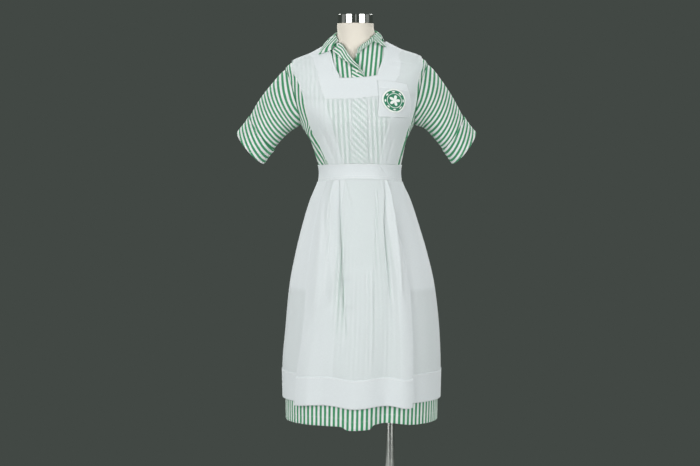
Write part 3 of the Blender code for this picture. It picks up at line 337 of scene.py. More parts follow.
def cloth(name, grid, wall, material, uv, replaced, closed=False, keep=None, cover=None):
    """A sheet of cloth with a rounded edge, from a grid of points on its middle surface.

    closed joins the last column to the first, and uv then has one column more than grid.
    keep says which cells are cloth. cover is how much of what lies behind the threads hide.
    """
    rows, columns = grid.shape[:2]
    wide = columns if closed else columns - 1
    row, column = np.meshgrid(np.arange(rows - 1), np.arange(wide), indexing="ij")
    after = (column + 1) % columns
    quads = np.stack([row * columns + column, row * columns + after,
                      (row + 1) * columns + after, (row + 1) * columns + column], axis=-1)
    uv_columns = uv.shape[1]
    corners = np.stack([row * uv_columns + column, row * uv_columns + column + 1,
                        (row + 1) * uv_columns + column + 1, (row + 1) * uv_columns + column], axis=-1)
    shown = np.ones(row.shape, bool) if keep is None else keep
    quads, corners = quads[shown], corners[shown]
    used, packed = np.unique(quads, return_inverse=True)
    quads = packed.reshape(-1, 4)
    points = grid.reshape(-1, 3)[used]
    count = len(points)
    square = np.cross(points[quads[:, 2]] - points[quads[:, 0]], points[quads[:, 3]] - points[quads[:, 1]])
    normal = np.zeros((count, 3))
    for k in range(4):
        np.add.at(normal, quads[:, k], square)
    normal /= np.linalg.norm(normal, axis=1, keepdims=True)
    starts, ends = quads.ravel(), np.roll(quads, -1, axis=1).ravel()
    corner_starts, corner_ends = corners.ravel(), np.roll(corners, -1, axis=1).ravel()
    edge = ~np.isin(starts * count + ends, ends * count + starts)
    a, b = starts[edge], ends[edge]
    away = np.zeros((count, 3))
    sideways = np.cross(points[b] - points[a], normal[a])
    sideways /= np.linalg.norm(sideways, axis=1, keepdims=True)
    np.add.at(away, a, sideways)
    np.add.at(away, b, sideways)
    rim = np.unique(a)
    away = away[rim] / np.linalg.norm(away[rim], axis=1, keepdims=True)
    middle = np.zeros(count, int)
    middle[rim] = 2 * count + np.arange(len(rim))
    every = np.concatenate([points + normal * wall / 2, points - normal * wall / 2, points[rim] + away * wall / 2])
    flipped = quads[:, ::-1]
    faces = np.concatenate([quads, flipped + count, np.stack([b, a, middle[a], middle[b]], axis=1),
                            np.stack([middle[b], middle[a], a + count, b + count], axis=1)])
    flat = uv.reshape(-1, 2)
    ca, cb = corner_starts[edge], corner_ends[edge]
    around = np.stack([cb, ca, ca, cb], axis=1)
    loops = np.concatenate([corners, corners[:, ::-1], around, around]).ravel()
    mesh = bpy.data.meshes.new(name)
    mesh.from_pydata(every.tolist(), [], faces.tolist())
    layer = mesh.uv_layers.new(name="cloth")
    layer.data.foreach_set("uv", flat[loops].ravel().astype(np.float32))
    if cover is not None:
        hidden = np.broadcast_to(cover, grid.shape[:2]).reshape(-1)[used]
        inner = np.where(hidden > DOUBLE_COVER - 0.01, hidden, 0.0)
        value = mesh.attributes.new("cover", "FLOAT", "POINT")
        value.data.foreach_set("value", np.concatenate([hidden, inner, hidden[rim]]).astype(np.float32))
    mesh.shade_smooth()
    mesh.materials.append(material)
    piece = bpy.data.objects.new(name, mesh)
    bpy.context.collection.objects.link(piece)
    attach(piece, "root")
    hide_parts(*replaced)
    return piece


def pair(across, up):
    """Joins the two cloth coordinates into one UV array."""
    return np.stack(np.broadcast_arrays(across, up), axis=-1)


Stitch = namedtuple("Stitch", "pitch length radius")
LOCKSTITCH = Stitch(0.0032, 0.0024, 0.00030)


def stitches(name, paths, material, stitch=LOCKSTITCH):
    """Rows of machine stitches: small closed beads of thread laid end to end along each path.

    A path is an array of points on the cloth's face. Each bead is two pointed ends and a ring
    of four corners, stretched along the path.
    """
    shape = np.array([(-0.5, 0, 0), (-0.22, 1, 0), (-0.22, 0, 1), (-0.22, -1, 0), (-0.22, 0, -1),
                      (0.22, 1, 0), (0.22, 0, 1), (0.22, -1, 0), (0.22, 0, -1), (0.5, 0, 0)], dtype=float)
    ring = [(1, 2, 6, 5), (2, 3, 7, 6), (3, 4, 8, 7), (4, 1, 5, 8)]
    tips = [(0, 2, 1), (0, 3, 2), (0, 4, 3), (0, 1, 4), (9, 5, 6), (9, 6, 7), (9, 7, 8), (9, 8, 5)]
    points, faces, first = [], [], 0
    for path in paths:
        steps = np.linalg.norm(np.diff(path, axis=0), axis=1)
        reach = np.concatenate([[0], np.cumsum(steps)])
        count = max(int(reach[-1] / stitch.pitch), 1)
        spots = (np.arange(count) + 0.5) * reach[-1] / count
        centre = np.stack([np.interp(spots, reach, path[:, k]) for k in range(3)], axis=1)
        ahead = np.stack([np.interp(spots + 0.0005, reach, path[:, k]) for k in range(3)], axis=1)
        behind = np.stack([np.interp(spots - 0.0005, reach, path[:, k]) for k in range(3)], axis=1)
        along = (ahead - behind) / np.linalg.norm(ahead - behind, axis=1, keepdims=True)
        side = np.cross(along, (0.31, 0.52, 0.79))
        side /= np.linalg.norm(side, axis=1, keepdims=True)
        up = np.cross(along, side)
        bead = (shape[:, 0, None] * stitch.length * along[:, None] + shape[:, 1, None] * stitch.radius * side[:, None]
                + shape[:, 2, None] * stitch.radius * up[:, None] + centre[:, None])
        points.append(bead.reshape(-1, 3))
        starts = first + np.arange(count) * 10
        faces += (starts[:, None, None] + np.array(ring)).reshape(-1, 4).tolist()
        faces += (starts[:, None, None] + np.array(tips)).reshape(-1, 3).tolist()
        first += count * 10
    mesh = bpy.data.meshes.new(name)
    mesh.from_pydata(np.concatenate(points).tolist(), [], faces)
    mesh.shade_smooth()
    mesh.materials.append(material)
    piece = bpy.data.objects.new(name, mesh)
    bpy.context.collection.objects.link(piece)
    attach(piece, "root")
    return piece


def on_face(grid, out):
    """The points of a grid moved out metres along its faces' normals."""
    down = np.gradient(grid, axis=0)
    over = np.gradient(grid, axis=1)
    normal = np.cross(over, down)
    return grid + out * normal / np.linalg.norm(normal, axis=-1, keepdims=True)


def plain_weave(material, place, warp, weft, darkest, lightest):
    """The uneven threads of a plain weave: their height, and the tone that they give the colour."""
    slubs = []
    for scale in (warp, weft):
        threads = add_node(material, "Mapping", {}, Vector=(place, "UV"), Scale=scale)
        slubs.append(add_node(material, "TexNoise", {}, Vector=(threads, "Vector"), Scale=1.0, Detail=2.0))
    height = add_node(material, "Math", {"operation": "ADD"}, _0=(slubs[0], "Fac"), _1=(slubs[1], "Fac"))
    tone = add_node(material, "MapRange", {}, Value=(height, "Value"), From_Min=0.6, From_Max=1.4,
                    To_Min=darkest, To_Max=lightest)
    return (height, "Value"), (tone, "Result")


# Spun polyester sewing thread: smooth, matt and a little whiter than the cloth
white_thread, shader = start_material("white sewing thread")
shader.inputs["Base Color"].default_value = linear("#F2F4F1")
shader.inputs["Roughness"].default_value = 0.6
shader.inputs["Sheen Weight"].default_value = 0.1

# Yarn dyed cotton: green warp stripes on white, each thread a little lighter or darker. The
# threads are drawn 1.1 mm apart, about three times as coarse as real ones, so that they show.
striped_cotton, shader = start_material("yarn dyed striped cotton")
shader.inputs["Sheen Weight"].default_value = 0.15
shader.inputs["Sheen Roughness"].default_value = 0.5
shader.inputs["Specular IOR Level"].default_value = 0.25
shader.inputs["Roughness"].default_value = 0.85
place = add_node(striped_cotton, "UVMap", {"uv_map": "cloth"})
axes = add_node(striped_cotton, "SeparateXYZ", {}, Vector=(place, "UV"))
wander = add_node(striped_cotton, "TexNoise", {}, Vector=(place, "UV"), Scale=45.0, Detail=1.0)
shift = add_node(striped_cotton, "MapRange", {}, Value=(wander, "Fac"), To_Min=-0.0005, To_Max=0.0005)
across = add_node(striped_cotton, "Math", {"operation": "ADD"}, _0=(axes, "X"), _1=(shift, "Result"))
fold = add_node(striped_cotton, "Math", {"operation": "PINGPONG"}, _0=(across, "Value"), _1=STRIPE_PERIOD / 2)
stripe = add_node(striped_cotton, "MapRange", {"interpolation_type": "SMOOTHSTEP"}, Value=(fold, "Value"),
                  From_Min=GREEN_WIDTH / 2 - 0.0004, From_Max=GREEN_WIDTH / 2 + 0.0004)
height, tone = plain_weave(striped_cotton, place, (900.0, 120.0, 1.0), (90.0, 900.0, 1.0), 0.86, 1.10)
dyed = add_node(striped_cotton, "Mix", {"data_type": "RGBA"}, Factor=(stripe, "Result"),
                _6=linear(DRESS_GREEN), _7=linear(DRESS_WHITE))
toned_relief(striped_cotton, shader, (dyed, 2), tone, height, 0.35)

# The bodice: two fronts lapped right over left at the centre and one whole back, seamed at the
# shoulders and sides. The armholes and the neck stay open. Soft creases run in from the armholes.
NeckPoint = namedtuple("NeckPoint", "theta at")
RIGHT_NECKLINE = (NeckPoint(-90, 1.0), NeckPoint(-62, 1.005), NeckPoint(-50, 1.05), NeckPoint(-38, 1.09),
                  NeckPoint(-18, 1.01), NeckPoint(-8.5, 0.985), NeckPoint(-2, 0.960), NeckPoint(2, 0.885),
                  NeckPoint(6.5, 0.745))
LEFT_NECKLINE = (NeckPoint(0, 1.12), NeckPoint(31, 1.13), NeckPoint(60, 1.09), NeckPoint(90, 1.0))
LEFT_UNDERLAP = 0.0022
SHOULDER_AT = 0.70
BODICE_SCALE = 0.99
BODICE_CREASES = (
    Crease(-86, 0.415, -60, 0.56, 3.5, -2.6),
    Crease(-86, 0.400, -56, 0.48, 3.5, 2.4),
    Crease(-87, 0.385, -56, 0.415, 3.5, -2.8),
    Crease(-87, 0.370, -56, 0.355, 3.5, 2.6),
    Crease(-88, 0.355, -56, 0.300, 3.5, -2.8),
    Crease(-88, 0.335, -58, 0.235, 3.5, 2.2),
    Crease(-88, 0.310, -60, 0.170, 4, -2.2),
    Crease(-86, 0.200, -52, 0.110, 5, -1.8),
    Crease(-86, 0.130, -52, 0.055, 5, -1.8),
    Crease(-86, 0.165, -52, 0.085, 4, 1.4),
    Crease(86, 0.400, 64, 0.50, 3.5, -2.4),
    Crease(87, 0.380, 66, 0.42, 3.5, 2.0),
    Crease(88, 0.355, 68, 0.33, 3.5, -2.4),
    Crease(88, 0.325, 68, 0.26, 4, 1.8),
    Crease(86, 0.160, 66, 0.12, 6, -1.4),
    Crease(118, 0.42, 150, 0.56, 9, -1.5),
    Crease(-118, 0.44, -148, 0.58, 9, -1.5),
    Crease(125, 0.02, 132, 0.20, 7, -1.8),
    Crease(140, 0.02, 145, 0.24, 7, 1.8),
    Crease(-128, 0.02, -134, 0.22, 7, -1.8),
    Crease(-143, 0.02, -146, 0.20, 7, 1.8),
    Crease(6, 0.93, 13, 0.80, 5, 0.9),
    Crease(18, 1.00, 15, 0.84, 5, -0.9),
)


def armhole_edge(at, reach):
    """How far round a panel may go at a height before it meets the armhole, in degrees."""
    height = np.clip((np.asarray(at, dtype=float) - 0.55) / 0.15, -1, 1)
    return 90 - reach * np.sqrt(1 - height ** 2)


def neckline(table, theta):
    return curve([point.theta for point in table], [point.at for point in table], theta)


def raised(place, theta, at, creases, out=0.0):
    """A surface with its creases: each point moves out by their height."""
    points = place(theta, at, out)
    normal = place(theta, at, out + 0.001) - points
    return points + normal * (crease_relief(points, creases, place) / 0.001)[..., None]


def bodice_uv(theta, at):
    """Upright stripes on the front, blended into the slanting ones of the darted sides."""
    theta, at = np.broadcast_arrays(np.asarray(theta, dtype=float), np.asarray(at, dtype=float))
    place = body_surface(theta, at)
    slope = np.radians(np.where(theta < 0, 57, 74))
    slanted = 1.35 * (np.abs(place[..., 0]) * np.sin(slope) - (place[..., 2] - 1.15) * np.cos(slope))
    share = smooth_step(40, 56, np.abs(theta)) * smooth_step(0.40, 0.30, at)
    upright = np.abs(cloth_across(theta, at)) * BODICE_SCALE
    drawn = np.abs(place[..., 0] - section_value("centre_x", at)) * 1.03 - 0.10 * (place[..., 2] - 1.36)
    upright = upright + (drawn - upright) * smooth_step(0.62, 0.78, at)
    return pair(np.sign(theta) * (upright + (slanted - upright) * share), cloth_up(at))


def back_uv(theta, at):
    """Upright stripes, measured from centre back. theta runs from 90 to 270."""
    side = np.where(theta > 180, 360 - theta, theta)
    from_centre = cloth_across(180, at) - cloth_across(side, at)
    return pair(np.sign(theta - 180) * from_centre * BODICE_SCALE, cloth_up(at))


def armhole_heights(low, high):
    """Heights from the waist to the armhole's top, closer together where it turns."""
    return np.concatenate([np.linspace(0.0, 0.40, low, endpoint=False),
                           0.55 + 0.15 * np.sin(np.radians(np.linspace(-90, 90, high)))])


def front_panel(side, table, edge_low, edge_high, underlap):
    """One front's angles, heights and offsets. side is 1 for the wearer's left."""
    seam = math.degrees(SEAM_GAP / 2 / 0.13)
    share = np.linspace(1, 0, 92)
    low = armhole_heights(74, 50)
    reach = armhole_edge(low, 29.0) - seam
    theta_low = edge_low + (reach[:, None] - edge_low) * share
    at_low = np.broadcast_to(low[:, None], theta_low.shape)
    step = np.linspace(0, 1, 27)[1:, None]
    edge = edge_low + (edge_high - edge_low) * smooth_step(0.3, 1.0, step)
    theta_high = edge + (90 - seam - edge) * share
    at_high = SHOULDER_AT + (neckline(table, side * theta_high) - SHOULDER_AT) * step
    theta = np.concatenate([theta_low, theta_high])
    at = np.concatenate([at_low, at_high])
    return side * theta, at, -underlap * smooth_step(26, 12, theta)


def back_panel():
    seam = math.degrees(SEAM_GAP / 2 / 0.13)
    share = np.linspace(1, -1, 111)
    low = armhole_heights(54, 36)
    theta_low = 180 - (armhole_edge(low, 34.0) - seam)[:, None] * share
    step = np.linspace(0, 1, 27)[1:, None]
    theta_high = 180 - (90 - seam) * share + 0 * step
    at = np.concatenate([np.broadcast_to(low[:, None], theta_low.shape),
                         np.broadcast_to(SHOULDER_AT + 0.30 * step, theta_high.shape)])
    return np.concatenate([theta_low, theta_high]), at


theta, at, out = front_panel(-1, RIGHT_NECKLINE, -2.0, -2.0, 0.0)
bodice_right = cloth("bodice_right_front", raised(dress_point, theta, at, BODICE_CREASES, out), DRESS_WALL,
                     striped_cotton, bodice_uv(theta, at), ["bodice_front_right"])
theta, at, out = (values[:, ::-1] for values in front_panel(1, LEFT_NECKLINE, -4.0, -1.0, LEFT_UNDERLAP))
bodice_left = cloth("bodice_left_front", raised(dress_point, theta, at, BODICE_CREASES, out), DRESS_WALL,
                    striped_cotton, bodice_uv(theta, at), ["bodice_front_left"])
theta, at = back_panel()
bodice_back = cloth("bodice_whole_back", raised(dress_point, theta, at, BODICE_CREASES), DRESS_WALL,
                    striped_cotton, back_uv(theta, at), ["bodice_back"])

# The dress skirt: a front and a back seamed at the sides, hanging in soft folds from the waist.
# The same striped cotton, with the stripes upright and a narrow hem.
SKIRT_TOP = -0.0020


def skirt_rows(count):
    return np.concatenate([np.linspace(DRESS[0].at, -0.30, count), np.linspace(-0.29, SKIRT_TOP, count // 2)])


def skirt_uv(theta, at):
    """Upright stripes spaced as at the hem, with the fold depth taken up in the cloth."""
    wide = np.sign(theta) * cloth_across(np.abs(theta), -0.74)
    return pair(wide - 0.02 * (at + 0.80), cloth_up(at))


# A fold runs down the skirt between two places. width in degrees, height in millimetres.
Fold = namedtuple("Fold", "theta at to_theta to_at width height")
APRON_FOLDS = (
    Fold(-33.5, -0.068, -22.0, -0.50, 3.0, 4.0),
    Fold(34.6, -0.068, 24.0, -0.48, 2.6, 5.0),
    Fold(-16.0, -0.068, -6.0, -0.16, 1.3, -1.2),
    Fold(16.6, -0.10, 12.2, -0.24, 0.8, 1.8),
    Fold(-13.0, -0.36, -44.0, -0.58, 6.0, -3.6),
    Fold(-9.0, -0.44, -16.0, -0.64, 5.0, -3.0),
    Fold(3.4, -0.34, 2.6, -0.66, 0.9, -1.2),
    Fold(5.4, -0.34, 4.4, -0.66, 0.9, 1.2),
    Fold(44.0, -0.40, 45.0, -0.64, 1.0, 1.2),
    Fold(50.0, -0.34, 51.5, -0.66, 1.0, 1.2),
    Fold(57.0, -0.38, 59.0, -0.66, 1.2, 1.4),
    Fold(-62.0, -0.068, -68.0, -0.30, 2.4, -2.0),
    Fold(62.0, -0.068, 70.0, -0.32, 2.4, -2.0),
    Fold(-95.0, -0.068, -99.0, -0.45, 3.0, -3.0),
    Fold(95.0, -0.068, 100.0, -0.45, 3.0, -3.0),
    Fold(-121.0, -0.068, -126.0, -0.50, 3.0, -3.0),
    Fold(118.0, -0.068, 124.0, -0.50, 3.0, -3.0),
    Fold(-148.0, -0.068, -150.0, -0.50, 2.6, -2.6),
    Fold(145.0, -0.068, 148.0, -0.50, 2.6, -2.6),
)


# A pleat's cloth slopes away gently on one side of its line and steps up sharply on the other.
# The sloping side is -1 for the wearer's right. theta and reach in degrees, depth in millimetres.
PleatRow = namedtuple("PleatRow", "at theta reach depth")
Pleat = namedtuple("Pleat", "side rows")
APRON_PLEATS = (
    Pleat(-1, (PleatRow(-0.068, -25.4, 1.4, 2.5), PleatRow(-0.13, -20.6, 2.0, 5.0), PleatRow(-0.20, -17.2, 2.4, 6.5),
               PleatRow(-0.26, -15.0, 3.0, 7.5), PleatRow(-0.32, -13.5, 4.2, 8.0), PleatRow(-0.39, -12.3, 7.0, 8.0),
               PleatRow(-0.46, -10.8, 9.5, 5.0), PleatRow(-0.54, -9.0, 12.0, 0.0))),
    Pleat(-1, (PleatRow(-0.068, -37.8, 2.0, 1.0), PleatRow(-0.157, -30.0, 3.0, 2.8), PleatRow(-0.223, -27.4, 4.0, 2.8),
               PleatRow(-0.30, -26.0, 5.5, 1.5), PleatRow(-0.36, -25.5, 6.0, 0.0))),
    Pleat(1, (PleatRow(-0.068, 30.6, 1.0, 1.0), PleatRow(-0.126, 24.8, 1.3, 5.0), PleatRow(-0.20, 20.4, 1.7, 5.5),
              PleatRow(-0.31, 18.4, 2.6, 5.0), PleatRow(-0.38, 18.2, 3.0, 3.5), PleatRow(-0.43, 18.2, 3.0, 0.0))),
    Pleat(1, (PleatRow(-0.10, 15.2, 1.0, 0.0), PleatRow(-0.14, 13.6, 1.5, 1.5), PleatRow(-0.21, 11.6, 2.5, 1.8),
              PleatRow(-0.34, 8.0, 8.0, 1.5), PleatRow(-0.48, 6.0, 9.0, 1.0), PleatRow(-0.60, 5.0, 8.0, 0.0))),
    Pleat(1, (PleatRow(-0.068, 41.0, 2.0, 1.5), PleatRow(-0.143, 33.2, 2.6, 2.4), PleatRow(-0.207, 33.6, 3.2, 2.4),
              PleatRow(-0.27, 33.8, 4.0, 0.0))),
)


def pleats(theta, at, table):
    """How far a place lies sunk in the pleats, from 0 to 1, and the depth of that in metres."""
    share, total = np.zeros(np.broadcast_shapes(theta.shape, at.shape)), 0.0
    for pleat in table:
        rows = np.array(pleat.rows)[::-1]
        line, reach, depth = np.moveaxis(curve(rows[:, 0], rows[:, 1:], at), -1, 0)
        away = (theta - line) * pleat.side
        sunk = np.where(away > 0, np.exp(-(np.abs(away) / reach) ** 1.4), smooth_step(-1.3, 0.0, away))
        sunk = sunk * depth * (at <= rows[-1, 0])
        share = np.maximum(share, sunk / 7.5)
        total = total + sunk / 1000
    return share, total


def folds(theta, at, table):
    """The height of long folds: a bell across each that fades out at its lower end."""
    relief = np.zeros(np.broadcast_shapes(theta.shape, at.shape))
    for fold in table:
        share = (at - fold.at) / (fold.to_at - fold.at)
        line = fold.theta + (fold.to_theta - fold.theta) * share
        strength = smooth_step(-0.03, 0.02, share) * smooth_step(1.0, 0.6, share)
        relief += fold.height / 1000 * strength * bump(theta, line, fold.width)
    return relief


heights = skirt_rows(60)[:, None]
angles = np.linspace(-90 + 0.05, 90 - 0.05, 201)[None, :]
give = 0.8 * np.minimum(folds(angles, heights, APRON_FOLDS), 0.0) - 0.9 * pleats(angles, heights, APRON_PLEATS)[1]
grid = dress_point(angles, heights, give)
skirt_front = cloth("dress_front_skirt", grid, DRESS_WALL, striped_cotton, skirt_uv(angles, heights),
                    ["dress_skirt_front"])
hem_lines = [on_face(grid, DRESS_WALL / 2 + 0.0002)[3]]
angles = np.linspace(90 + 0.05, 270 - 0.05, 121)[None, :]
give = 0.8 * np.minimum(folds(signed_angle(angles), heights, APRON_FOLDS), 0.0)
across_back = cloth_across(180, -0.74) * 2 - cloth_across(360 - angles, -0.74)
across_back = np.where(angles > 180, across_back, cloth_across(angles, -0.74))
grid = dress_point(signed_angle(angles), heights, give)
skirt_back = cloth("dress_back_skirt", grid, DRESS_WALL, striped_cotton, pair(across_back, cloth_up(heights)),
                   ["dress_skirt_back"])
hem_lines.append(on_face(grid, DRESS_WALL / 2 + 0.0002)[3])
stitches("dress_hem_stitching", hem_lines, white_thread)

# The sleeves: short tubes set into the armholes, cut across the cloth so that the stripes run
# round the arm. The openings tip so that their fronts hang lower.
SleeveRow = namedtuple("SleeveRow", "name along upper_x upper_z lower_x lower_z left_tuck centre_y half_depth")
SLEEVE = (
    SleeveRow("armhole", 0.00, 0.2186, 1.3850, 0.1750, 1.2090, 0.000, 0.004, 0.0650),
    SleeveRow("cap", 0.20, 0.2435, 1.3610, 0.1940, 1.2000, 0.002, 0.010, 0.0630),
    SleeveRow("upper", 0.45, 0.2750, 1.3230, 0.2140, 1.1830, 0.007, 0.019, 0.0600),
    SleeveRow("lower", 0.72, 0.3060, 1.2780, 0.2380, 1.1560, 0.011, 0.029, 0.0580),
    SleeveRow("cuff_top", 1.00, 0.3330, 1.2306, 0.2580, 1.1305, 0.012, 0.039, 0.0565),
    SleeveRow("cuff_end", 1.45, 0.3705, 1.1825, 0.2895, 1.0885, 0.010, 0.055, 0.0570),
)
DRESS_CENTRE_X = -0.0047
SLEEVE_TIP = 0.012
CUFF_WALL = 0.0014


def sleeve_value(field, along):
    return curve([row.along for row in SLEEVE], [getattr(row, field) for row in SLEEVE], along)


def sleeve_middle(side, along):
    """The sleeve's centre line, and half of its width as seen from the front."""
    tuck = sleeve_value("left_tuck", along) if side > 0 else 0.0
    upper_x, lower_x = sleeve_value("upper_x", along), sleeve_value("lower_x", along) + tuck
    upper_z, lower_z = sleeve_value("upper_z", along), sleeve_value("lower_z", along)
    centre = np.stack([DRESS_CENTRE_X + side * (upper_x + lower_x) / 2, sleeve_value("centre_y", along),
                       (upper_z + lower_z) / 2], axis=-1)
    return centre, side * (upper_x - lower_x) / 2, (upper_z - lower_z) / 2


def armhole_angles(turn):
    """Where the armhole seam runs. turn is -90 at the underarm, 0 at the front, 90 at the top."""
    reach = np.where(np.cos(np.radians(turn)) >= 0, 29.0, 34.0)
    return 90 - reach * np.cos(np.radians(turn)), 0.55 + 0.15 * np.sin(np.radians(turn))


def sleeve_point(side, turn, along, out=0.0):
    """The sleeve: flattened rings along a bent centre line, blended from the armhole's outline."""
    turn, along, out = np.broadcast_arrays(*(np.asarray(v, dtype=float) for v in (turn, along, out)))
    centre, half_x, half_z = sleeve_middle(side, along)
    length = np.hypot(half_x, half_z)
    scale = (length + out) / length
    up, front = np.sin(np.radians(turn)), np.cos(np.radians(turn))
    depth = sleeve_value("half_depth", along) + out
    ring = centre + np.stack([half_x * scale * up, -depth * front, half_z * scale * up], axis=-1)
    axis = sleeve_middle(side, 1.45)[0] - sleeve_middle(side, 0.72)[0]
    axis = axis * (1, 0, 1) / np.hypot(axis[0], axis[2])
    ring = ring + axis * (SLEEVE_TIP * smooth_step(0.35, 1.45, along) * front)[..., None]
    lean = SHOULDER_LEAN * (1 - smooth_step(0.0, 0.9, along))
    ring[..., 2] += lean * (ring[..., 0] - DRESS_CENTRE_X)
    theta, at = armhole_angles(turn)
    armhole = dress_point(side * theta, at) + centre - sleeve_middle(side, 0.0)[0]
    share = smooth_step(0.0, 0.34, along)[..., None]
    return (1 - share) * armhole + share * ring


# Creases on a sleeve run between two places. turn and along as for the sleeve, in millimetres.
Tuck = namedtuple("Tuck", "turn along to_turn to_along width height")
SLEEVE_TUCKS = (
    Tuck(-78, 0.05, -20, 0.34, 5.0, -2.6),
    Tuck(-74, 0.16, -24, 0.44, 4.5, 2.4),
    Tuck(-70, 0.26, -18, 0.54, 4.5, -2.2),
    Tuck(-72, 0.38, -30, 0.62, 4.0, 1.8),
    Tuck(-60, 0.04, -8, 0.22, 5.0, 2.0),
    Tuck(-40, 0.02, 6, 0.14, 4.0, -1.6),
    Tuck(30, 0.55, 55, 0.86, 5.0, -1.4),
    Tuck(38, 0.72, 60, 0.96, 4.0, 1.6),
    Tuck(-100, 0.06, -150, 0.34, 5.0, -2.2),
    Tuck(-104, 0.20, -152, 0.50, 5.0, 2.0),
    Tuck(196, 0.55, 150, 0.80, 6.0, -1.6),
)


def raised_sleeve(side, turn, along):
    """The sleeve with its creases. Each is a bell round a straight line, fading at its ends."""
    grid = sleeve_point(side, turn, along)
    height = np.zeros(grid.shape[:2])
    for tuck in SLEEVE_TUCKS:
        start, end = sleeve_point(side, tuck.turn, tuck.along), sleeve_point(side, tuck.to_turn, tuck.to_along)
        line = end - start
        share = np.clip(((grid - start) @ line) / (line @ line), 0, 1)
        reach = np.linalg.norm(grid - start - share[..., None] * line, axis=-1) * 1000
        height += tuck.height / 1000 * np.exp(-(reach / tuck.width) ** 2) * np.sin(np.pi * (0.08 + 0.84 * share))
    height *= smooth_step(0.01, 0.10, along) * smooth_step(1.02, 0.94, along)
    return sleeve_point(side, turn, along, height)


def sleeve_uv(side, turn, along):
    """Stripes round the arm, bowed so that they turn up towards the shoulder at the top."""
    knots = np.linspace(0, 1.45, 30)
    centres = sleeve_middle(side, knots)[0]
    lengths = np.concatenate([[0], np.cumsum(np.linalg.norm(np.diff(centres, axis=0), axis=1))])
    distance = np.interp(along, knots, lengths)
    half = np.hypot(*sleeve_middle(side, along)[1:])
    height = half * np.sin(np.radians(turn))
    tilt = curve((0.0, 0.45, 0.72, 1.0, 1.45), (-0.12, -0.10, 0.0, 0.12, 0.20), along)
    bow = curve((0.0, 0.72, 1.45), (3.0, 2.2, 1.2), along)
    return pair(distance + tilt * height + bow * height ** 2, np.radians(turn) * 0.065)


sleeves, cuffs = {}, {}
for side, word, spacing in ((-1, "right", 1.115), (1, "left", 1.17)):
    order = slice(None) if side > 0 else slice(None, None, -1)
    turns = np.linspace(-90, 270, 161)[None, :][:, order]
    along = np.linspace(0.010, 1.42, 92)[:, None]
    grid = raised_sleeve(side, turns, along)
    sleeves[word] = cloth("sleeve_" + word + "_cloth", grid[:, :-1], DRESS_WALL, striped_cotton,
                          sleeve_uv(side, turns, along) * spacing, ["sleeve_" + word], closed=True)
    along = np.linspace(1.00, 1.45, 24)[:, None]
    out = curve((1.00, 1.12, 1.45), (0.0034, 0.0025, 0.0022), along)
    grid = sleeve_point(side, turns, along, out)
    turned_up = sleeve_uv(side, turns, along)
    turned_up[..., 0] += 0.005 + 0.08 * 0.07 * np.sin(np.radians(turns))
    cuffs[word] = cloth("cuff_" + word + "_cloth", grid[:, :-1], CUFF_WALL, striped_cotton,
                        turned_up, ["cuff_" + word], closed=True)
    stitches("cuff_" + word + "_stitching", [on_face(grid, -CUFF_WALL / 2 - 0.0002)[k] for k in (2, -3)],
             white_thread)

# The collar: one double strip that stands up from the neckline, rolls over and falls outside
# the apron straps. Its right end meets the lapel and its left end runs to centre front.
CollarColumn = namedtuple("CollarColumn", "theta roll_z edge_theta edge_at edge_out")
COLLAR = (
    CollarColumn(-60, 1.4665, -48.0, 0.943, 0.0076),
    CollarColumn(-64, 1.4700, -57.0, 0.886, 0.0076),
    CollarColumn(-72, 1.4770, -71.0, 0.925, 0.0074),
    CollarColumn(-90, 1.4866, -90.0, 0.940, 0.0070),
    CollarColumn(-112, 1.4925, -113.0, 0.935, 0.0070),
    CollarColumn(-135, 1.4975, -136.0, 0.932, 0.0070),
    CollarColumn(-158, 1.5015, -158.0, 0.930, 0.0070),
    CollarColumn(-180, 1.5030, -180.0, 0.930, 0.0070),
    CollarColumn(-202, 1.5025, -202.0, 0.930, 0.0070),
    CollarColumn(-225, 1.5000, -224.0, 0.932, 0.0070),
    CollarColumn(-248, 1.4965, -247.0, 0.955, 0.0074),
    CollarColumn(-270, 1.4925, -270.0, 0.988, 0.0074),
    CollarColumn(-288, 1.4895, -290.0, 0.978, 0.0066),
    CollarColumn(-298, 1.4845, -304.0, 0.929, 0.0070),
    CollarColumn(-309, 1.4795, -318.5, 1.105, 0.0062),
    CollarColumn(-318, 1.4720, -327.0, 1.100, 0.0060),
    CollarColumn(-329, 1.4620, -336.0, 1.110, 0.0058),
    CollarColumn(-343, 1.4530, -347.0, 1.112, 0.0058),
    CollarColumn(-358, 1.4380, -358.5, 1.088, 0.0058),
)
COLLAR_CORNERS = (0, 1, 13, 14, 18)
COLLAR_KNOTS = (0.0, 0.30, 0.60, 0.70, 0.80, 1.2, 1.6, 2.0)
ROLL_HALF_WIDTH = 0.0650
ROLL_HALF_DEPTH = 0.0660
COLLAR_WALL = 0.0016


def roll_point(theta, z, out):
    side, ahead = np.sin(np.radians(theta)), np.cos(np.radians(theta))
    return np.stack([DRESS_CENTRE_X + (ROLL_HALF_WIDTH + out) * side, -(ROLL_HALF_DEPTH + out) * ahead, z], axis=-1)


def neck_edge(theta):
    """The neckline of the bodice panels."""
    top = np.where((theta > -90) & (theta < 0), neckline(RIGHT_NECKLINE, theta), 1.0)
    top = np.where((theta >= 0) & (theta < 90), neckline(LEFT_NECKLINE, theta), top)
    return dress_point(theta, top, np.where(theta >= 0, -LEFT_UNDERLAP * smooth_step(26, 12, theta), 0.0))


def collar_field(field, place):
    """A value along the collar, smooth between its sharp corners."""
    values = np.array([getattr(column, field) for column in COLLAR])
    result = np.zeros(len(place))
    for start, end in zip(COLLAR_CORNERS[:-1], COLLAR_CORNERS[1:]):
        here = (place >= start) & (place <= end)
        result[here] = curve(np.arange(start, end + 1), values[start:end + 1], place[here])
    return result


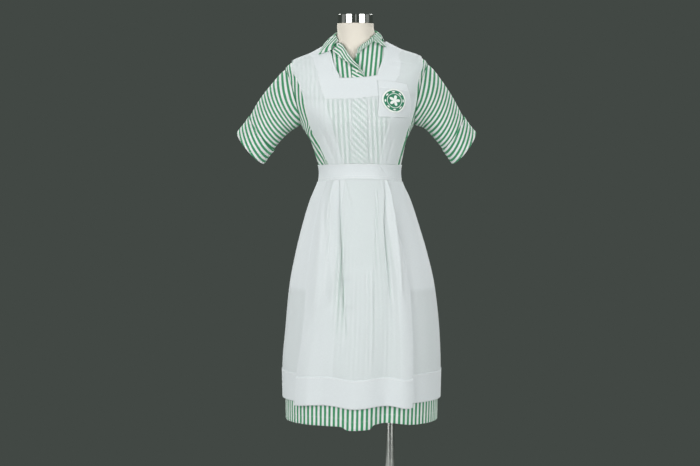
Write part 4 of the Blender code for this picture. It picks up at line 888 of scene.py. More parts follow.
def collar_grid(place, rows):
    """The collar's profile carried round the neck: up from the seam, over the roll and out."""
    theta = signed_angle(collar_field("theta", place))
    roll_z = collar_field("roll_z", place)
    foot = neck_edge(theta) + np.array([0.0, 0.0, 0.0013])
    inner = roll_point(theta, roll_z - 0.0030, -0.0012)
    crown = roll_point(theta, roll_z, 0.0006)
    outer = roll_point(theta, roll_z - 0.0025, 0.0034)
    edge = dress_point(signed_angle(collar_field("edge_theta", place)), collar_field("edge_at", place),
                       collar_field("edge_out", place))
    fall = [outer + (edge - outer) * share + bulge * (outer - inner) * np.array([1.0, 1.0, 0.3])
            for share, bulge in ((0.33, 0.62), (0.68, 0.50), (1.0, 0.0))]
    profile = np.array([foot, 0.5 * (foot + inner), inner, crown, outer] + fall)
    return curve(COLLAR_KNOTS, profile, rows)


place = np.unique(np.concatenate([np.linspace(0, 18, 181), COLLAR_CORNERS]))
rows = np.concatenate([np.linspace(0, 0.6, 14, endpoint=False), np.linspace(0.6, 0.9, 12, endpoint=False),
                       np.linspace(0.9, 2.0, 26)])
grid = collar_grid(place, rows)
collar_length = np.concatenate([[0], np.cumsum(np.linalg.norm(np.diff(grid[10], axis=0), axis=1))])
steps = np.linalg.norm(np.diff(grid, axis=0), axis=-1)
collar_rise = np.concatenate([np.zeros((1, len(place))), np.cumsum(steps, axis=0)])
uv = pair(collar_rise + 0.003, collar_length[None, :])
front = place > 14
uv[:, front, 0] = 2.6 * bodice_uv(signed_angle(collar_field("theta", place))[None, front], 0.97)[..., 0]
right_leaf = 2.1 * (0.64 * grid[..., 0] - 0.77 * grid[..., 2])
left_leaf = 2.3 * (0.70 * grid[..., 0] + 0.70 * grid[..., 2])
uv[..., 0] += smooth_step(4.0, 2.5, place) * (right_leaf - right_leaf[:, 50:51] - uv[..., 0])
near = smooth_step(11.0, 12.0, place) * (place <= 14)
uv[..., 0] += near * (left_leaf - uv[..., 0])
collar = cloth("collar_cloth", grid, COLLAR_WALL, striped_cotton, uv, ["collar"])
stitches("collar_stitching", [on_face(grid, COLLAR_WALL / 2 + 0.0002)[-4]], white_thread)

# The right lapel: the top of the right front and its facing, folded back on itself. Its stripes
# run along the fold.
LapelRow = namedtuple("LapelRow", "fold_theta fold_at edge_theta edge_at fold_out edge_out")
LAPEL = (
    LapelRow(-47.0, 1.085, -46.0, 0.942, 0.0034, 0.0054),
    LapelRow(-36.0, 1.085, -34.5, 0.937, 0.0034, 0.0056),
    LapelRow(-26.0, 1.045, -24.5, 0.934, 0.0036, 0.0058),
    LapelRow(-18.0, 1.003, -17.0, 0.930, 0.0040, 0.0060),
    LapelRow(-9.5, 0.980, -9.2, 0.921, 0.0064, 0.0070),
    LapelRow(-3.0, 0.958, -2.6, 0.888, 0.0068, 0.0072),
    LapelRow(1.0, 0.910, 0.8, 0.848, 0.0068, 0.0072),
    LapelRow(3.0, 0.845, 2.8, 0.808, 0.0066, 0.0070),
    LapelRow(4.6, 0.785, 4.3, 0.772, 0.0064, 0.0067),
)
lapel_values = curve(np.arange(len(LAPEL)), np.array(LAPEL), np.linspace(0, 8, 90))
fold_theta, fold_at, edge_theta, edge_at, fold_out, edge_out = (column[:, None] for column in lapel_values.T)
share = np.linspace(0, 1, 24)[None, :]
grid = dress_point(fold_theta + (edge_theta - fold_theta) * share, fold_at + (edge_at - fold_at) * share,
                   fold_out + (edge_out - fold_out) * share)
lapel_width = np.linalg.norm(grid - grid[:, :1], axis=-1)
lapel_length = np.concatenate([[0], np.cumsum(np.linalg.norm(np.diff(grid[:, 0], axis=0), axis=1))])
lapel = cloth("lapel_right_cloth", grid, 0.0014, striped_cotton,
              pair(lapel_width * 1.5 + 0.0020, lapel_length[:, None]), ["lapel_right"])
stitches("lapel_stitching", [on_face(grid, 0.0009)[:, -3]], white_thread)

# The front band: a strip cut on the bias and sewn down the right front's edge, so its stripes
# slant. It carries the buttonholes.
BAND_LEFT_X, BAND_RIGHT_X = -0.0185, 0.0265
BAND_OUT = 0.0023
BAND_LOW = -0.27
BAND_WALL = 0.0014


def theta_at_x(x, at):
    """The angle at which the dress's section reaches a place across, near the front."""
    across = (x - section_value("centre_x", at)) / section_value("half_width", at)
    return np.degrees(np.arcsin(signed_power(across, 1 / ROUNDNESS)))


across = np.linspace(BAND_LEFT_X, BAND_RIGHT_X, 24)[None, :]
low = np.linspace(BAND_LOW, SHOULDER_AT, 110, endpoint=False)[:, None]
top = neckline(RIGHT_NECKLINE, theta_at_x(across, 0.85)) - 0.010
high = SHOULDER_AT + (top - SHOULDER_AT) * np.linspace(0, 1, 26)[:, None]
at = np.concatenate([np.broadcast_to(low, (110, 24)), high])
grid = dress_point(theta_at_x(across, at), at, BAND_OUT + 0.0017 * smooth_step(0.82, 0.91, at))
bias = math.sqrt(0.5)
band_up = cloth_up(at)
front_band = cloth("front_band_cloth", grid, BAND_WALL, striped_cotton,
                   pair((across + band_up) * bias, (across - band_up) * bias), ["front_band"])
stitches("front_band_stitching", [on_face(grid, BAND_WALL / 2 + 0.0002)[:, k] for k in (1, -2)], white_thread)

# The apron bib and its two wide straps, cut in one and square at the neck. White cotton lawn,
# thin enough for the dress's stripes to show faintly. A facing lies behind the neck edge.
APRON_WHITE = "#E1E7E9"
# A single layer is painted whiter than a double one: painted light for the light that passes through it and comes back
SHEER_PAINTED_WHITE = "#F7FDFF"
APRON_WALL = 0.0008
SHEER_COVER, DOUBLE_COVER = 0.56, 0.93
BibRow = namedtuple("BibRow", "place right_outer right_inner left_inner left_outer")
BIB = (
    BibRow(0.0, (-89.9, 0.775), (-89.9, 0.955), (89.9, 0.955), (89.9, 0.765)),
    BibRow(1.0, (-78.5, 0.764), (-64.0, 0.945), (67.0, 0.948), (76.0, 0.751)),
    BibRow(2.0, (-60.0, 0.700), (-43.0, 0.925), (51.0, 0.930), (65.0, 0.700)),
    BibRow(3.0, (-51.0, 0.645), (-25.5, 0.872), (28.0, 0.865), (59.0, 0.655)),
    BibRow(4.0, (-47.0, 0.580), (-11.5, 0.742), (15.0, 0.751), (56.0, 0.592)),
    BibRow(5.0, (-46.5, 0.510), (-11.5, 0.620), (15.0, 0.625), (56.5, 0.525)),
    BibRow(6.0, (-51.0, 0.434), (-12.5, 0.500), (15.5, 0.505), (60.0, 0.450)),
    BibRow(7.0, (-55.5, 0.335), (-14.0, 0.370), (17.0, 0.372), (64.0, 0.367)),
    BibRow(8.0, (-52.5, 0.219), (-13.5, 0.225), (16.5, 0.225), (65.0, 0.225)),
    BibRow(9.0, (-43.5, 0.0730), (-11.5, 0.0730), (14.5, 0.0730), (55.5, 0.0730)),
)
BIB_OUT = 0.0052
BIB_SHOULDER_OUT = 0.0039
NECKLINE_PLACE = 4.0
FACING_LINE = ((-90, 0.86), (-61.8, 0.853), (-42.5, 0.807), (-28.8, 0.723), (-25.2, 0.614), (-22.5, 0.564),
               (13.5, 0.577), (24, 0.60), (30, 0.68), (40, 0.77), (62, 0.86), (90, 0.87))
BIB_CREASES = (
    Crease(-24.5, 0.52, -19.5, 0.10, 4, 1.2),
    Crease(-39, 0.42, -31, 0.08, 6, -1.6),
    Crease(-30, 0.46, -25, 0.08, 6, 1.2),
    Crease(-12, 0.36, -4, 0.16, 5, -1.2),
    Crease(3, 0.34, 9, 0.16, 5, -1.3),
    Crease(31, 0.42, 25, 0.08, 4, 1.0),
    Crease(42, 0.30, 36, 0.08, 6, -1.2),
    Crease(36, 0.86, 48, 0.78, 4, -1.0),
    Crease(31, 0.83, 42, 0.74, 4, 0.8),
)

# Cotton lawn: a fine plain weave, so thin that what lies close under it shows. Two layers
# together are nearly opaque. Threads are drawn coarser than real ones, as on the dress.
white_cotton, shader = start_material("sheer white cotton lawn")
shader.inputs["Sheen Weight"].default_value = 0.1
shader.inputs["Specular IOR Level"].default_value = 0.25
shader.inputs["Roughness"].default_value = 0.8
place_uv = add_node(white_cotton, "UVMap", {"uv_map": "cloth"})
height, tone = plain_weave(white_cotton, place_uv, (1000.0, 110.0, 1.0), (100.0, 1000.0, 1.0), 0.95, 1.03)
cover = add_node(white_cotton, "Attribute", {"attribute_name": "cover"})
single = add_node(white_cotton, "MapRange", {}, Value=(cover, "Fac"), From_Min=DOUBLE_COVER, From_Max=SHEER_COVER)
# Where the lawn is single its colour is painted whiter, as painted light for the light that passes through and returns
painted_light_white = add_node(white_cotton, "Mix", {"data_type": "RGBA"}, Factor=(single, "Result"),
                     _6=linear(APRON_WHITE), _7=linear(SHEER_PAINTED_WHITE))
toned_relief(white_cotton, shader, (painted_light_white, 2), tone, height, 0.25)
link(white_cotton, cover, "Fac", shader, "Alpha")


def bib_out(theta, at):
    """The bib lies close over the shoulders and clears the front band lower down."""
    centre = smooth_step(34, 12, np.abs(theta))
    return BIB_SHOULDER_OUT + (BIB_OUT - BIB_SHOULDER_OUT) * centre * smooth_step(0.93, 0.80, at)


def bib_place(theta, at, out=0.0):
    return dress_point(theta, at, bib_out(theta, at) + out)


def layered(share):
    """The cover of cloth that is single where share is 0 and double where it is 1."""
    return SHEER_COVER + (DOUBLE_COVER - SHEER_COVER) * share


def facing(theta, at):
    """1 where the neck facing lies behind the bib, and less at the shoulders and on the seam turnings."""
    line = curve([point[0] for point in FACING_LINE], [point[1] for point in FACING_LINE], theta)
    right = curve((0.08, 0.34, 0.56), (-18.5, -23.5, -22.8), at)
    left = curve((0.08, 0.25, 0.43, 0.60), (23.4, 26.8, 30.2, 31.5), at)
    turning = np.maximum(smooth_step(0.5, -0.5, theta - right), smooth_step(-0.5, 0.5, theta - left))
    beside = 0.55 * turning * smooth_step(0.62, 0.50, at)
    shoulder = 0.42 * smooth_step(0.52, 0.60, at)
    return np.maximum(smooth_step(-0.004, 0.004, at - line), np.maximum(beside, shoulder))


bib_rows = np.concatenate([np.linspace(0, 4, 90, endpoint=False), np.linspace(4, 9, 100)])
bib_table = np.array([[row.right_outer, row.right_inner, row.left_inner, row.left_outer] for row in BIB])
corners = curve([row.place for row in BIB], bib_table, bib_rows)
shares = np.concatenate([np.linspace(0, 1, 40, endpoint=False), np.linspace(1, 2, 44, endpoint=False),
                         np.linspace(2, 3, 41)])
part = np.minimum(shares.astype(int), 2)
fraction = (shares - part)[None, :, None]
places = corners[:, part] * (1 - fraction) + corners[:, part + 1] * fraction
theta, at = places[..., 0], places[..., 1]
cell_row, cell_column = np.meshgrid(np.arange(len(bib_rows) - 1), np.arange(len(shares) - 1), indexing="ij")
keep = (bib_rows[cell_row] >= NECKLINE_PLACE - 1e-6) | (part[cell_column] != 1)
grid = raised(bib_place, theta, at, BIB_CREASES)
bib = cloth("apron_bib_cloth", grid[:, ::-1], APRON_WALL, white_cotton,
            bodice_uv(theta, at)[:, ::-1], ["apron_bib"],
            keep=keep[:, ::-1], cover=layered(facing(theta, at))[:, ::-1])
face = on_face(grid[:, ::-1], APRON_WALL / 2 + 0.0002)[:, ::-1]
facing_angles = np.linspace(-42, 12.5, 60)
facing_at = curve([point[0] for point in FACING_LINE], [point[1] for point in FACING_LINE], facing_angles)
stitches("bib_stitching", [face[:, 2], face[:, -3], face[:88, 37], face[:88, 87], face[93, 40:85],
                           bib_place(facing_angles, facing_at, APRON_WALL / 2 + 0.0002)],
         white_thread)

# The back straps: single strips from the shoulder seams down to the back of the waistband,
# of the same lawn, doubled at their hemmed edges.
StrapRow = namedtuple("StrapRow", "outer_theta outer_at inner_theta inner_at")
STRAP_OUT = 0.0042
STRAP = (
    StrapRow(90.1, 0.765, 90.1, 0.955),
    StrapRow(104.0, 0.752, 106.0, 0.944),
    StrapRow(118.0, 0.725, 126.0, 0.905),
    StrapRow(129.0, 0.672, 143.0, 0.830),
    StrapRow(137.0, 0.590, 155.0, 0.735),
    StrapRow(142.0, 0.490, 163.0, 0.610),
    StrapRow(146.0, 0.380, 168.0, 0.460),
    StrapRow(149.0, 0.270, 171.0, 0.310),
    StrapRow(151.0, 0.170, 172.5, 0.185),
    StrapRow(152.0, 0.073, 173.0, 0.073),
)
for side, word in ((-1, "right"), (1, "left")):
    values = curve(np.arange(len(STRAP)), np.array(STRAP), np.linspace(0, len(STRAP) - 1, 150))[:, None]
    share = np.linspace(0, 1, 34)[None, :]
    theta = values[..., 0] + (values[..., 2] - values[..., 0]) * share
    at = values[..., 1] + (values[..., 3] - values[..., 1]) * share
    grid = dress_point(side * theta, at, STRAP_OUT)
    hemmed = smooth_step(0.14, 0.11, share) + smooth_step(0.86, 0.89, share) + 0 * theta
    uv = pair(side * cloth_across(theta, at), cloth_up(at))
    order = slice(None) if side < 0 else slice(None, None, -1)
    cloth("apron_back_strap_" + word, grid[:, order], APRON_WALL, white_cotton, uv[:, order],
                         ["apron_strap_" + word], cover=layered(hemmed)[:, order])
    face = on_face(grid[:, order], APRON_WALL / 2 + 0.0002)
    stitches("strap_" + word + "_stitching", [face[:, k] for k in (1, 4, -5, -2)], white_thread)

# The waistband: a double strip round the waist, its left end lapped over the right at the back
# and buttoned.
BAND_DOUBLE_WALL = 0.0018


def band_place(theta, at, out=0.0):
    """The waistband's surface. Past the back it lies over its own other end."""
    lap = 0.0032 * smooth_step(162, 178, theta)
    clear = 0.0026 + 0.0027 * smooth_step(34, 14, np.abs(theta))
    return dress_point(signed_angle(theta), at, clear + lap + out)


theta = np.linspace(-176, 196, 250)[None, :]
at = np.linspace(-0.064, 0.0690, 22)[:, None]
BAND_CREASES = (
    Crease(20, 0.060, 32, -0.020, 3, 1.6),
    Crease(24, 0.060, 36, -0.030, 3, -1.3),
    Crease(-30, 0.05, -42, -0.05, 5, 0.5),
    Crease(-8, 0.03, -2, -0.06, 5, 0.4),
)
grid = raised(band_place, theta, at, BAND_CREASES)
waistband = cloth("apron_waistband_cloth", grid, BAND_DOUBLE_WALL, white_cotton,
                  pair(theta * 0.0019, at * 0.43), ["apron_waistband"], cover=layered(1.0))
stitches("waistband_stitching", [on_face(grid, BAND_DOUBLE_WALL / 2 + 0.0002)[k] for k in (1, 3, -2)], white_thread)

# The apron skirt: gathered into the waistband and open down the back, of the same lawn. Two soft
# folds set the front panel forward of the sides, and a deep hem is turned up below.
SkirtColumn = namedtuple("SkirtColumn", "angle fold layer")
APRON_FRONT_DROP = 0.004
HEM_TOP = -0.6490


def apron_point(theta, at, out=0.0, front_share=0.0):
    """The apron skirt's surface, clear of the dress. front_share is 1 on the front panel."""
    theta, at = np.broadcast_arrays(np.asarray(theta, dtype=float), np.asarray(at, dtype=float))
    clearance = 0.0052 + 0.0020 * smooth_step(-0.07, -0.16, at)
    point = body_point(theta, at, out + clearance + fold_relief(theta, at))
    near_hem = smooth_step(-0.25, -0.66, at)
    wave = 0.009 * bump(theta, -4, 10) + 0.010 * bump(theta, 30, 9) + 0.007 * bump(theta, -52, 16)
    point[..., 2] -= near_hem * front_share * (APRON_FRONT_DROP + wave)
    return point


def fold_angle(side, at):
    """Where the front panel's edge hangs, in degrees from centre front."""
    if side < 0:
        return curve((-0.735, -0.44, -0.06), (52.2, 44.8, 46.0), at)
    return curve((-0.735, -0.42, -0.26, -0.06), (34.4, 35.2, 33.4, 34.5), at)


def skirt_columns():
    """The apron skirt's columns from the back edge on the right to the back edge on the left."""
    columns = [SkirtColumn(-angle, 0, 0) for angle in (175, 164, 153, 142, 131, 120, 109, 98, 87, 76)]
    columns += [SkirtColumn(-0.35, -1, 0)]
    columns += [SkirtColumn(0.0, -1, layer) for layer in (4, 3, 2, 1)]
    columns += [SkirtColumn(share, -1, -1) for share in (0.07, 0.22, 0.38, 0.54, 0.7, 0.85)]
    columns += [SkirtColumn(1.0, 0, -2)]
    columns += [SkirtColumn(share, 1, -1) for share in (0.8, 0.6, 0.42, 0.24, 0.07)]
    columns += [SkirtColumn(0.0, 1, layer) for layer in (1, 2, 3, 4)]
    columns += [SkirtColumn(-0.35, 1, 0)]
    columns += [SkirtColumn(angle, 0, 0) for angle in (66, 76, 87, 98, 109, 120, 131, 142, 153, 164, 175)]
    return columns


def skirt_place(column, at):
    """The angle, the extra distance out and the share of the front panel down one column."""
    step = 0.0003 + 0.0072 * smooth_step(-0.068, -0.13, at)
    tuck = -1.7 + 5.2 * smooth_step(-0.10, -0.24, at)
    none, whole = np.zeros_like(at), np.ones_like(at)
    if column.layer == -2:
        return none, none, whole
    if column.fold == 0:
        return none + column.angle, none, none
    edge = fold_angle(column.fold, at)
    if column.layer == 0:
        outer = 76.0 if column.fold < 0 else 66.0
        return column.fold * (edge + 4.0 + (outer - edge - 4.0) * abs(column.angle)), none, none
    if column.layer == -1:
        rise = smooth_step(0.55, 0.15, column.angle)
        return column.fold * edge * (1 - column.angle), step * rise, whole
    under = {1: none, 2: tuck, 3: tuck - 0.25, 4: np.minimum(tuck, 0.0) - 1.4}[column.layer]
    depth = {1: 0.0, 2: 0.45, 3: 0.85, 4: 1.0}[column.layer]
    share = {1: 1.0, 2: 0.85, 3: 0.30, 4: 0.0}[column.layer]
    return column.fold * (edge - under), step * (1 - depth), whole * share


def apron_grid(heights, fine, extra=0.0):
    """The skirt's columns joined by smooth curves, with fine points between each pair."""
    columns = skirt_columns()
    values = np.array([skirt_place(column, heights) for column in columns])
    counts = [3 * fine if column.layer in (1, -1, -2) else fine for column in columns[:-1]]
    place = np.concatenate([np.linspace(k, k + 1, n, endpoint=False) for k, n in enumerate(counts)])
    place = np.append(place, len(columns) - 1.0)
    theta, out, share = np.moveaxis(curve(np.arange(len(columns)), values, place), 1, 0)
    relief = folds(theta.T, heights[:, None], APRON_FOLDS) - pleats(theta.T, heights[:, None], APRON_PLEATS)[1]
    grid = apron_point(theta.T, heights[:, None], out.T + extra + relief, share.T)
    steps = np.linalg.norm(np.diff(grid[len(heights) // 3], axis=0), axis=1)
    across = np.concatenate([[0], np.cumsum(steps)])
    return grid, pair(across[None, :], heights[:, None]), theta.T, share.T


def skirt_cover(grid, theta, at, share):
    """The gathers whiten the cloth. Above the form's lower edge the side panels are painted more opaque and whiter:
    painted light for the form behind. It clings and is sheerest in the pleat valleys, which is partly painted shade.
    """
    beside = smooth_step(3, 6, np.maximum(-theta - 12.5, theta - 19.0))
    lower = 0.52 * smooth_step(0.88, 0.76, grid[..., 2])
    # Painted light: the side panels are made more opaque and whiter above the form's lower edge
    painted_form_light = smooth_step(0.694, 0.712, grid[..., 2]) * (1 - share)
    # The pleat valleys are made sheerer: partly the cloth clinging to the dress, partly painted shade that darkens
    # them
    valley_cling_and_shade = pleats(theta, at, APRON_PLEATS)[0]
    front = np.maximum(np.maximum(0.80 * beside, lower), 0.44)
    return layered(front * share + (0.66 + 0.44 * painted_form_light) * (1 - share)) * (1 - 0.40 * np.minimum(valley_cling_and_shade, 1))


heights = np.linspace(HEM_TOP - 0.0040, -0.0650, 100)
grid, uv, theta, share = apron_grid(heights, 6)
apron_skirt = cloth("apron_skirt_cloth", grid, APRON_WALL, white_cotton, uv, ["apron_skirt"],
                    cover=skirt_cover(grid, theta, heights[:, None], share))
heights = np.linspace(-0.7350, HEM_TOP + 0.0008, 20)
grid, uv, theta, share = apron_grid(heights, 6, extra=0.0014)
apron_hem = cloth("apron_hem_cloth", grid, 0.0016, white_cotton, uv, ["apron_hem"],
                  cover=layered(1.0))
stitches("apron_hem_stitching", [on_face(grid, 0.0010)[-2]], white_thread)

# The bib pocket: one square patch pocket of the same lawn on the wearer's left, its top edge
# turned down, and sewn on three sides.
POCKET_CORNERS = np.array(((13.4, 0.698), (40.4, 0.628), (54.5, 0.434), (16.4, 0.420)))


def pocket_place(theta, at, out=0.0):
    return dress_point(theta, at, bib_out(theta, at) + 0.0026 + out)


down, over = np.linspace(1, 0, 60)[:, None, None], np.linspace(0, 1, 60)[None, :, None]
inner = POCKET_CORNERS[0] + (POCKET_CORNERS[3] - POCKET_CORNERS[0]) * down
outer = POCKET_CORNERS[1] + (POCKET_CORNERS[2] - POCKET_CORNERS[1]) * down
places = inner + (outer - inner) * over
theta, at = places[..., 0], places[..., 1]
turned_down = smooth_step(0.235, 0.22, down[..., 0]) + 0 * over[..., 0]
grid = pocket_place(theta, at)
pocket = cloth("bib_pocket_cloth", grid, 0.0010, white_cotton, bodice_uv(theta, at), ["bib_pocket"],
               cover=layered(0.62 + 0.38 * turned_down))
face = on_face(grid, 0.0007)
stitches("pocket_stitching", [face[1:, 1], face[1:, -2], face[1, 1:-1], face[46, 1:-1]], white_thread)

# The patch: a round embroidered badge with a plain daisy in a green ring, sewn on the pocket.
PATCH_PLACE = (29.0, 0.533)
PATCH_RADIUS = 0.035
PATCH_GREEN = "#0B7A55"
PATCH_WHITE = "#EEF2EE"

badge, shader = start_material("embroidered twill badge")
shader.inputs["Roughness"].default_value = 0.7
shader.inputs["Sheen Weight"].default_value = 0.2
place_uv = add_node(badge, "UVMap", {"uv_map": "cloth"})
axes = add_node(badge, "SeparateXYZ", {}, Vector=(place_uv, "UV"))
petals = add_node(badge, "Math", {"operation": "MULTIPLY"}, _0=(axes, "Y"), _1=2.5)
petal_wave = add_node(badge, "Math", {"operation": "COSINE"}, _0=(petals, "Value"))
petal_size = add_node(badge, "Math", {"operation": "ABSOLUTE"}, _0=(petal_wave, "Value"))
petal_edge = add_node(badge, "MapRange", {}, Value=(petal_size, "Value"), To_Min=0.0050, To_Max=0.0165)
inside = add_node(badge, "Math", {"operation": "SUBTRACT"}, _0=(axes, "X"), _1=(petal_edge, "Result"))
flower = add_node(badge, "MapRange", {}, Value=(inside, "Value"), From_Min=-0.0003, From_Max=0.0003)
beads = add_node(badge, "Math", {"operation": "MULTIPLY"}, _0=(axes, "Y"), _1=8.0)
bead_wave = add_node(badge, "Math", {"operation": "COSINE"}, _0=(beads, "Value"))
bead_ring = add_node(badge, "Math", {"operation": "SUBTRACT"}, _0=(axes, "X"), _1=0.0265)
bead_reach = add_node(badge, "Math", {"operation": "ABSOLUTE"}, _0=(bead_ring, "Value"))
bead_size = add_node(badge, "Math", {"operation": "MULTIPLY_ADD"}, _0=(bead_wave, "Value"), _1=-0.0022,
                     _2=(bead_reach, "Value"))
bead = add_node(badge, "MapRange", {}, Value=(bead_size, "Value"), From_Min=-0.0003, From_Max=0.0003)
ring_reach = add_node(badge, "Math", {"operation": "SUBTRACT"}, _0=(axes, "X"), _1=0.0213)
ring_size = add_node(badge, "Math", {"operation": "ABSOLUTE"}, _0=(ring_reach, "Value"))
ring = add_node(badge, "MapRange", {}, Value=(ring_size, "Value"), From_Min=0.0006, From_Max=0.0010)
border = add_node(badge, "MapRange", {}, Value=(axes, "X"), From_Min=0.0312, From_Max=0.0308)
green_share = (flower, "Result")
for part in (bead, ring, border):
    step = add_node(badge, "Math", {"operation": "MULTIPLY"}, _0=green_share, _1=(part, "Result"))
    green_share = (step, "Value")
dyed = add_node(badge, "Mix", {"data_type": "RGBA"}, Factor=green_share, _6=linear(PATCH_WHITE),
                _7=linear(PATCH_GREEN))
stitch_map = add_node(badge, "Mapping", {}, Vector=(place_uv, "UV"), Scale=(300.0, 24.0, 1.0))
stitch = add_node(badge, "TexNoise", {}, Vector=(stitch_map, "Vector"), Scale=1.0, Detail=1.0)
tone = add_node(badge, "MapRange", {}, Value=(stitch, "Fac"), From_Min=0.3, From_Max=0.7, To_Min=0.85, To_Max=1.08)
toned_relief(badge, shader, (dyed, 2), (tone, "Result"), (stitch, "Fac"), 0.5, depth=0.0005)

here = dress_point(*PATCH_PLACE)
patch_across = dress_point(PATCH_PLACE[0] + 1, PATCH_PLACE[1]) - here
patch_along = (dress_point(PATCH_PLACE[0], PATCH_PLACE[1] + 0.01) - here) / 0.01
right = patch_across * (1, 1, 0)
right /= np.linalg.norm(right)
upward = np.cross(np.cross(patch_across, patch_along), right)
upward /= np.linalg.norm(upward)
radius = np.concatenate([[0.0004], np.linspace(0.002, PATCH_RADIUS, 40)])[::-1, None]
turn = np.radians(np.arange(121) * 3.0)[None, :]
reach = radius[..., None] * (np.cos(turn)[..., None] * right + np.sin(turn)[..., None] * upward)
solve = np.linalg.pinv(np.stack([patch_across, patch_along], axis=1))
steps = reach @ solve.T
theta, at = PATCH_PLACE[0] + steps[..., 0], PATCH_PLACE[1] + steps[..., 1]
rim_rise = 0.0006 * np.exp(-((radius - 0.0328) / 0.0016) ** 2)
grid = dress_point(theta, at, bib_out(theta, at) + 0.0044 + rim_rise)
patch = cloth("pocket_patch_badge", grid[:, :-1], 0.0012, badge, pair(radius, turn), ["pocket_patch"],
              closed=True)

# The dress form: a smooth moulded torso under a stretched cream jersey cover, with a neck and
# no arms or head, and a chromed cap on the neck.
FormRow = namedtuple("FormRow", "name at inset_front inset_side inset_back")
FORM = (
    FormRow("waist", 0.00, 0.0095, 0.0050, 0.0045),
    FormRow("ribs", 0.15, 0.0110, 0.0070, 0.0060),
    FormRow("under_bust", 0.27, 0.0120, 0.0110, 0.0070),
    FormRow("bust", 0.40, 0.0110, 0.0230, 0.0090),
    FormRow("chest", 0.55, 0.0110, 0.0420, 0.0120),
    FormRow("upper_chest", 0.65, 0.0090, 0.0370, 0.0110),
    FormRow("shoulder_end", 0.72, 0.0080, 0.0170, 0.0090),
    FormRow("shoulder_tip", 0.76, 0.0060, 0.0050, 0.0060),
    FormRow("shoulder", 0.82, 0.0060, 0.0020, 0.0030),
    FormRow("shoulder_mid", 0.88, 0.0055, 0.0020, 0.0030),
    FormRow("shoulder_in", 0.94, 0.0060, 0.0020, 0.0036),
    FormRow("neck_root", 0.975, 0.0075, 0.0045, 0.0055),
    FormRow("neck", 1.00, 0.0095, 0.0118, 0.0085),
)
HipRow = namedtuple("HipRow", "z half_width front_depth back_depth")
HIPS = (
    HipRow(0.700, 0.128, 0.084, 0.088),
    HipRow(0.706, 0.148, 0.100, 0.106),
    HipRow(0.740, 0.157, 0.107, 0.115),
    HipRow(0.860, 0.158, 0.112, 0.124),
    HipRow(0.920, 0.150, 0.110, 0.119),
    HipRow(0.980, 0.134, 0.102, 0.105),
    HipRow(1.025, 0.121, 0.092, 0.088),
)
NECK_ROWS = ((0.0575, -0.0060, 1.489), (0.0565, -0.0080, 1.507), (0.0565, -0.0080, 1.518))
COVER_COLOUR = "#E3DCCF"
CAP_PROFILE = ((0.0, 1.5183), (0.0530, 1.5183), (0.0540, 1.5190), (0.0542, 1.5198), (0.0542, 1.5206),
               (0.0542, 1.5444), (0.0542, 1.5452), (0.0538, 1.5459), (0.0532, 1.5460), (0.0, 1.5460))

# Cotton jersey stretched tight: matt, with a fine knit drawn at about 1.2 mm so that it shows
jersey, shader = start_material("stretched cream jersey")
shader.inputs["Roughness"].default_value = 0.75
shader.inputs["Sheen Weight"].default_value = 0.2
place_object = add_node(jersey, "TexCoord", {})
knit_map = add_node(jersey, "Mapping", {}, Vector=(place_object, "Object"), Scale=(700.0, 700.0, 1000.0))
knit = add_node(jersey, "TexNoise", {}, Vector=(knit_map, "Vector"), Scale=1.0, Detail=2.0)
mottle = add_node(jersey, "TexNoise", {}, Vector=(place_object, "Object"), Scale=14.0, Detail=3.0)
tone = add_node(jersey, "MapRange", {}, Value=(mottle, "Fac"), To_Min=0.94, To_Max=1.04)
toned_relief(jersey, shader, linear(COVER_COLOUR), (tone, "Result"), (knit, "Fac"), 0.2)

form_theta = np.arange(144) * 2.5
side, ahead = np.sin(np.radians(form_theta)), np.cos(np.radians(form_theta))
rings = [np.stack([0.006 + hip.half_width * signed_power(side, ROUNDNESS),
                   -np.where(ahead > 0, hip.front_depth, hip.back_depth) * signed_power(ahead, ROUNDNESS),
                   np.full(len(side), hip.z)], axis=-1) for hip in HIPS]
for row in FORM:
    end = np.where(ahead > 0, row.inset_front, row.inset_back)
    rings.append(body_point(signed_angle(form_theta), row.at, -(end + (row.inset_side - end) * side ** 2)))
rings += [np.stack([x + r * side, -r * ahead, np.full(len(side), z)], axis=-1) for r, x, z in NECK_ROWS]
rings = np.array(rings)
knots = np.arange(len(rings))
fine = np.unique(np.concatenate([np.linspace(0, len(rings) - 1, 91), knots]))
rings = curve(knots, rings, fine)
points = np.concatenate([rings.reshape(-1, 3), rings[:1].mean(axis=1), rings[-1:].mean(axis=1)])
put_piece("form_torso_cover", points, ring_faces(*rings.shape[:2]), jersey, ["form_torso"],
          sharp_angle=50)
turned("neck_cap_cup", CAP_PROFILE, (-0.0080, 0.0), chrome, ["neck_cap"], around=96)

# The buttons: four-hole shirt buttons of cast resin, one on the front band under the lapel and
# a larger one on the lapped end of the waistband.
resin, shader = start_material("cast resin button")
shader.inputs["Base Color"].default_value = linear("#E6E6DF")
shader.inputs["Roughness"].default_value = 0.28
BUTTON_PROFILE = ((0.0, -0.5), (0.90, -0.5), (0.98, -0.35), (1.0, 0.0), (0.98, 0.30), (0.92, 0.50), (0.84, 0.52),
                  (0.76, 0.40), (0.66, 0.18), (0.45, 0.12), (0.0, 0.12))
HOLE_SPACING = 0.24


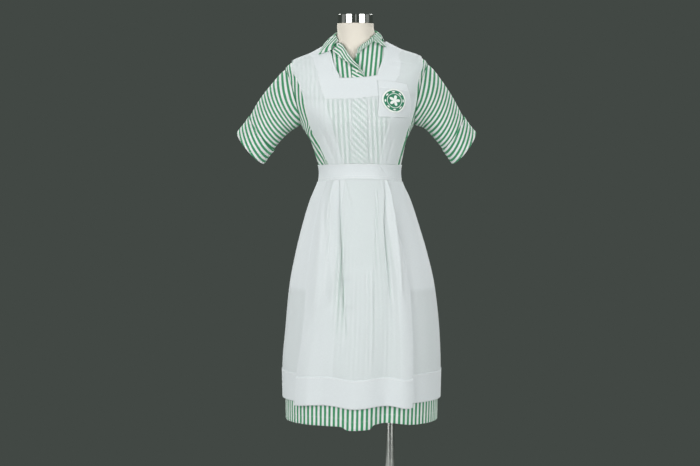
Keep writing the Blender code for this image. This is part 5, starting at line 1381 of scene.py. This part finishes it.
def sewn_button(name, place, theta, at, out, radius, wall, replaced):
    """A turned button lying on the cloth, with its thread over four holes in a cross of two bars."""
    centre = place(theta, at, out)
    outward = place(theta, at, out + 0.001) - centre
    outward /= np.linalg.norm(outward)
    across = np.cross((0.0, 0.0, 1.0), outward)
    across /= np.linalg.norm(across)
    upright = np.cross(outward, across)
    turn = np.radians(np.arange(48) * 7.5)
    profile = np.array(BUTTON_PROFILE[1:-1])
    rim = np.cos(turn)[:, None] * across + np.sin(turn)[:, None] * upright
    rings = centre + profile[:, 0, None, None] * radius * rim + profile[:, 1, None, None] * wall * outward
    ends = centre + np.array([[BUTTON_PROFILE[0][1]], [BUTTON_PROFILE[-1][1]]]) * wall * outward
    points = np.concatenate([rings.reshape(-1, 3), ends])
    put_piece(name + "_disc", points, ring_faces(len(rings), len(turn)), resin, replaced, sharp_angle=50)
    bars = []
    for offset in (-HOLE_SPACING, HOLE_SPACING):
        start = centre + radius * (offset * across - HOLE_SPACING * upright) + 0.30 * wall * outward
        end = centre + radius * (offset * across + HOLE_SPACING * upright) + 0.30 * wall * outward
        bars.append(start + (end - start) * np.linspace(0, 1, 5)[:, None])
    stitches(name + "_thread", bars, white_thread, Stitch(radius * 0.5, radius * 0.62, radius * 0.075))


sewn_button("neck_button", dress_point, 0.25, 0.822, BAND_OUT + 0.0017, 0.0045, 0.0016, ["neck_button"])
sewn_button("apron_back_button", band_place, -170 + 360, 0.004, 0.0022, 0.0075, 0.0022, ["apron_back_button"])

# The stage: a pale floor and soft studio lights on both sides of the camera, whose reflections
# make the two bright bands on the chrome.
CAMERA_PLACE = (-0.0248, -6.0, 1.2)
CAMERA_AIM = (-0.0248, 0.0, 0.871)
FLOOR_RADIUS = 0.78
floor_turn = np.radians(np.arange(128) * 360 / 128)
floor_rim = np.stack([FLOOR_RADIUS * np.cos(floor_turn), FLOOR_RADIUS * np.sin(floor_turn), 0 * floor_turn], axis=1)
floor_mesh = bpy.data.meshes.new("floor")
floor_mesh.from_pydata(floor_rim.tolist(), [], [list(range(128))])
floor = bpy.data.objects.new("floor", floor_mesh)
bpy.context.collection.objects.link(floor)
paint, shader = start_material("pale matt floor")
shader.inputs["Base Color"].default_value = linear("#C9CBC9")
shader.inputs["Roughness"].default_value = 0.9
floor_mesh.materials.append(paint)


def soft_light(name, place, aim, width, tall, power):
    """A rectangular softbox turned to face the object."""
    data = bpy.data.lights.new(name, "AREA")
    data.shape = "RECTANGLE"
    data.size, data.size_y, data.energy = width, tall, power
    item = bpy.data.objects.new(name, data)
    item.location = place
    item.rotation_euler = (Vector(aim) - Vector(place)).to_track_quat("-Z", "Y").to_euler()
    bpy.context.collection.objects.link(item)


soft_light("softbox_right", (-2.10, -2.15, 1.45), (0, 0, 1.25), 1.9, 2.9, 79)
soft_light("softbox_left", (2.10, -2.15, 1.45), (0, 0, 1.25), 1.9, 2.9, 66)
soft_light("reflector_right", (-3.2, -0.2, 1.6), (0, 0, 1.4), 1.5, 2.2, 2.2)
soft_light("reflector_left", (3.2, -0.2, 1.6), (0, 0, 1.4), 1.5, 2.2, 2.2)
soft_light("reflector_front", (0.3, -7.4, 2.0), (0, 0, 1.4), 0.9, 1.6, 1.6)
soft_light("softbox_above", (0.0, 0.2, 3.7), (0, 0, 1.0), 2.2, 2.2, 22)
soft_light("softbox_back_right", (-1.9, 2.6, 3.3), (0, 0, 0.8), 2.0, 2.0, 70)
soft_light("softbox_back_left", (1.9, 2.6, 3.3), (0, 0, 0.8), 2.0, 2.0, 70)
world = bpy.data.worlds.new("studio")
world.use_nodes = True
world.node_tree.nodes["Background"].inputs["Color"].default_value = linear("#424844")
bpy.context.scene.world = world
bpy.context.scene.view_settings.view_transform = "Standard"

camera_data = bpy.data.cameras.new("camera")
camera_data.lens = 99.5
camera_data.sensor_width = 36.0
camera = bpy.data.objects.new("camera", camera_data)
camera.location = CAMERA_PLACE
aim = Vector(CAMERA_AIM) - Vector(CAMERA_PLACE)
camera.rotation_euler = aim.to_track_quat("-Z", "Y").to_euler()
bpy.context.collection.objects.link(camera)
bpy.context.scene.camera = camera
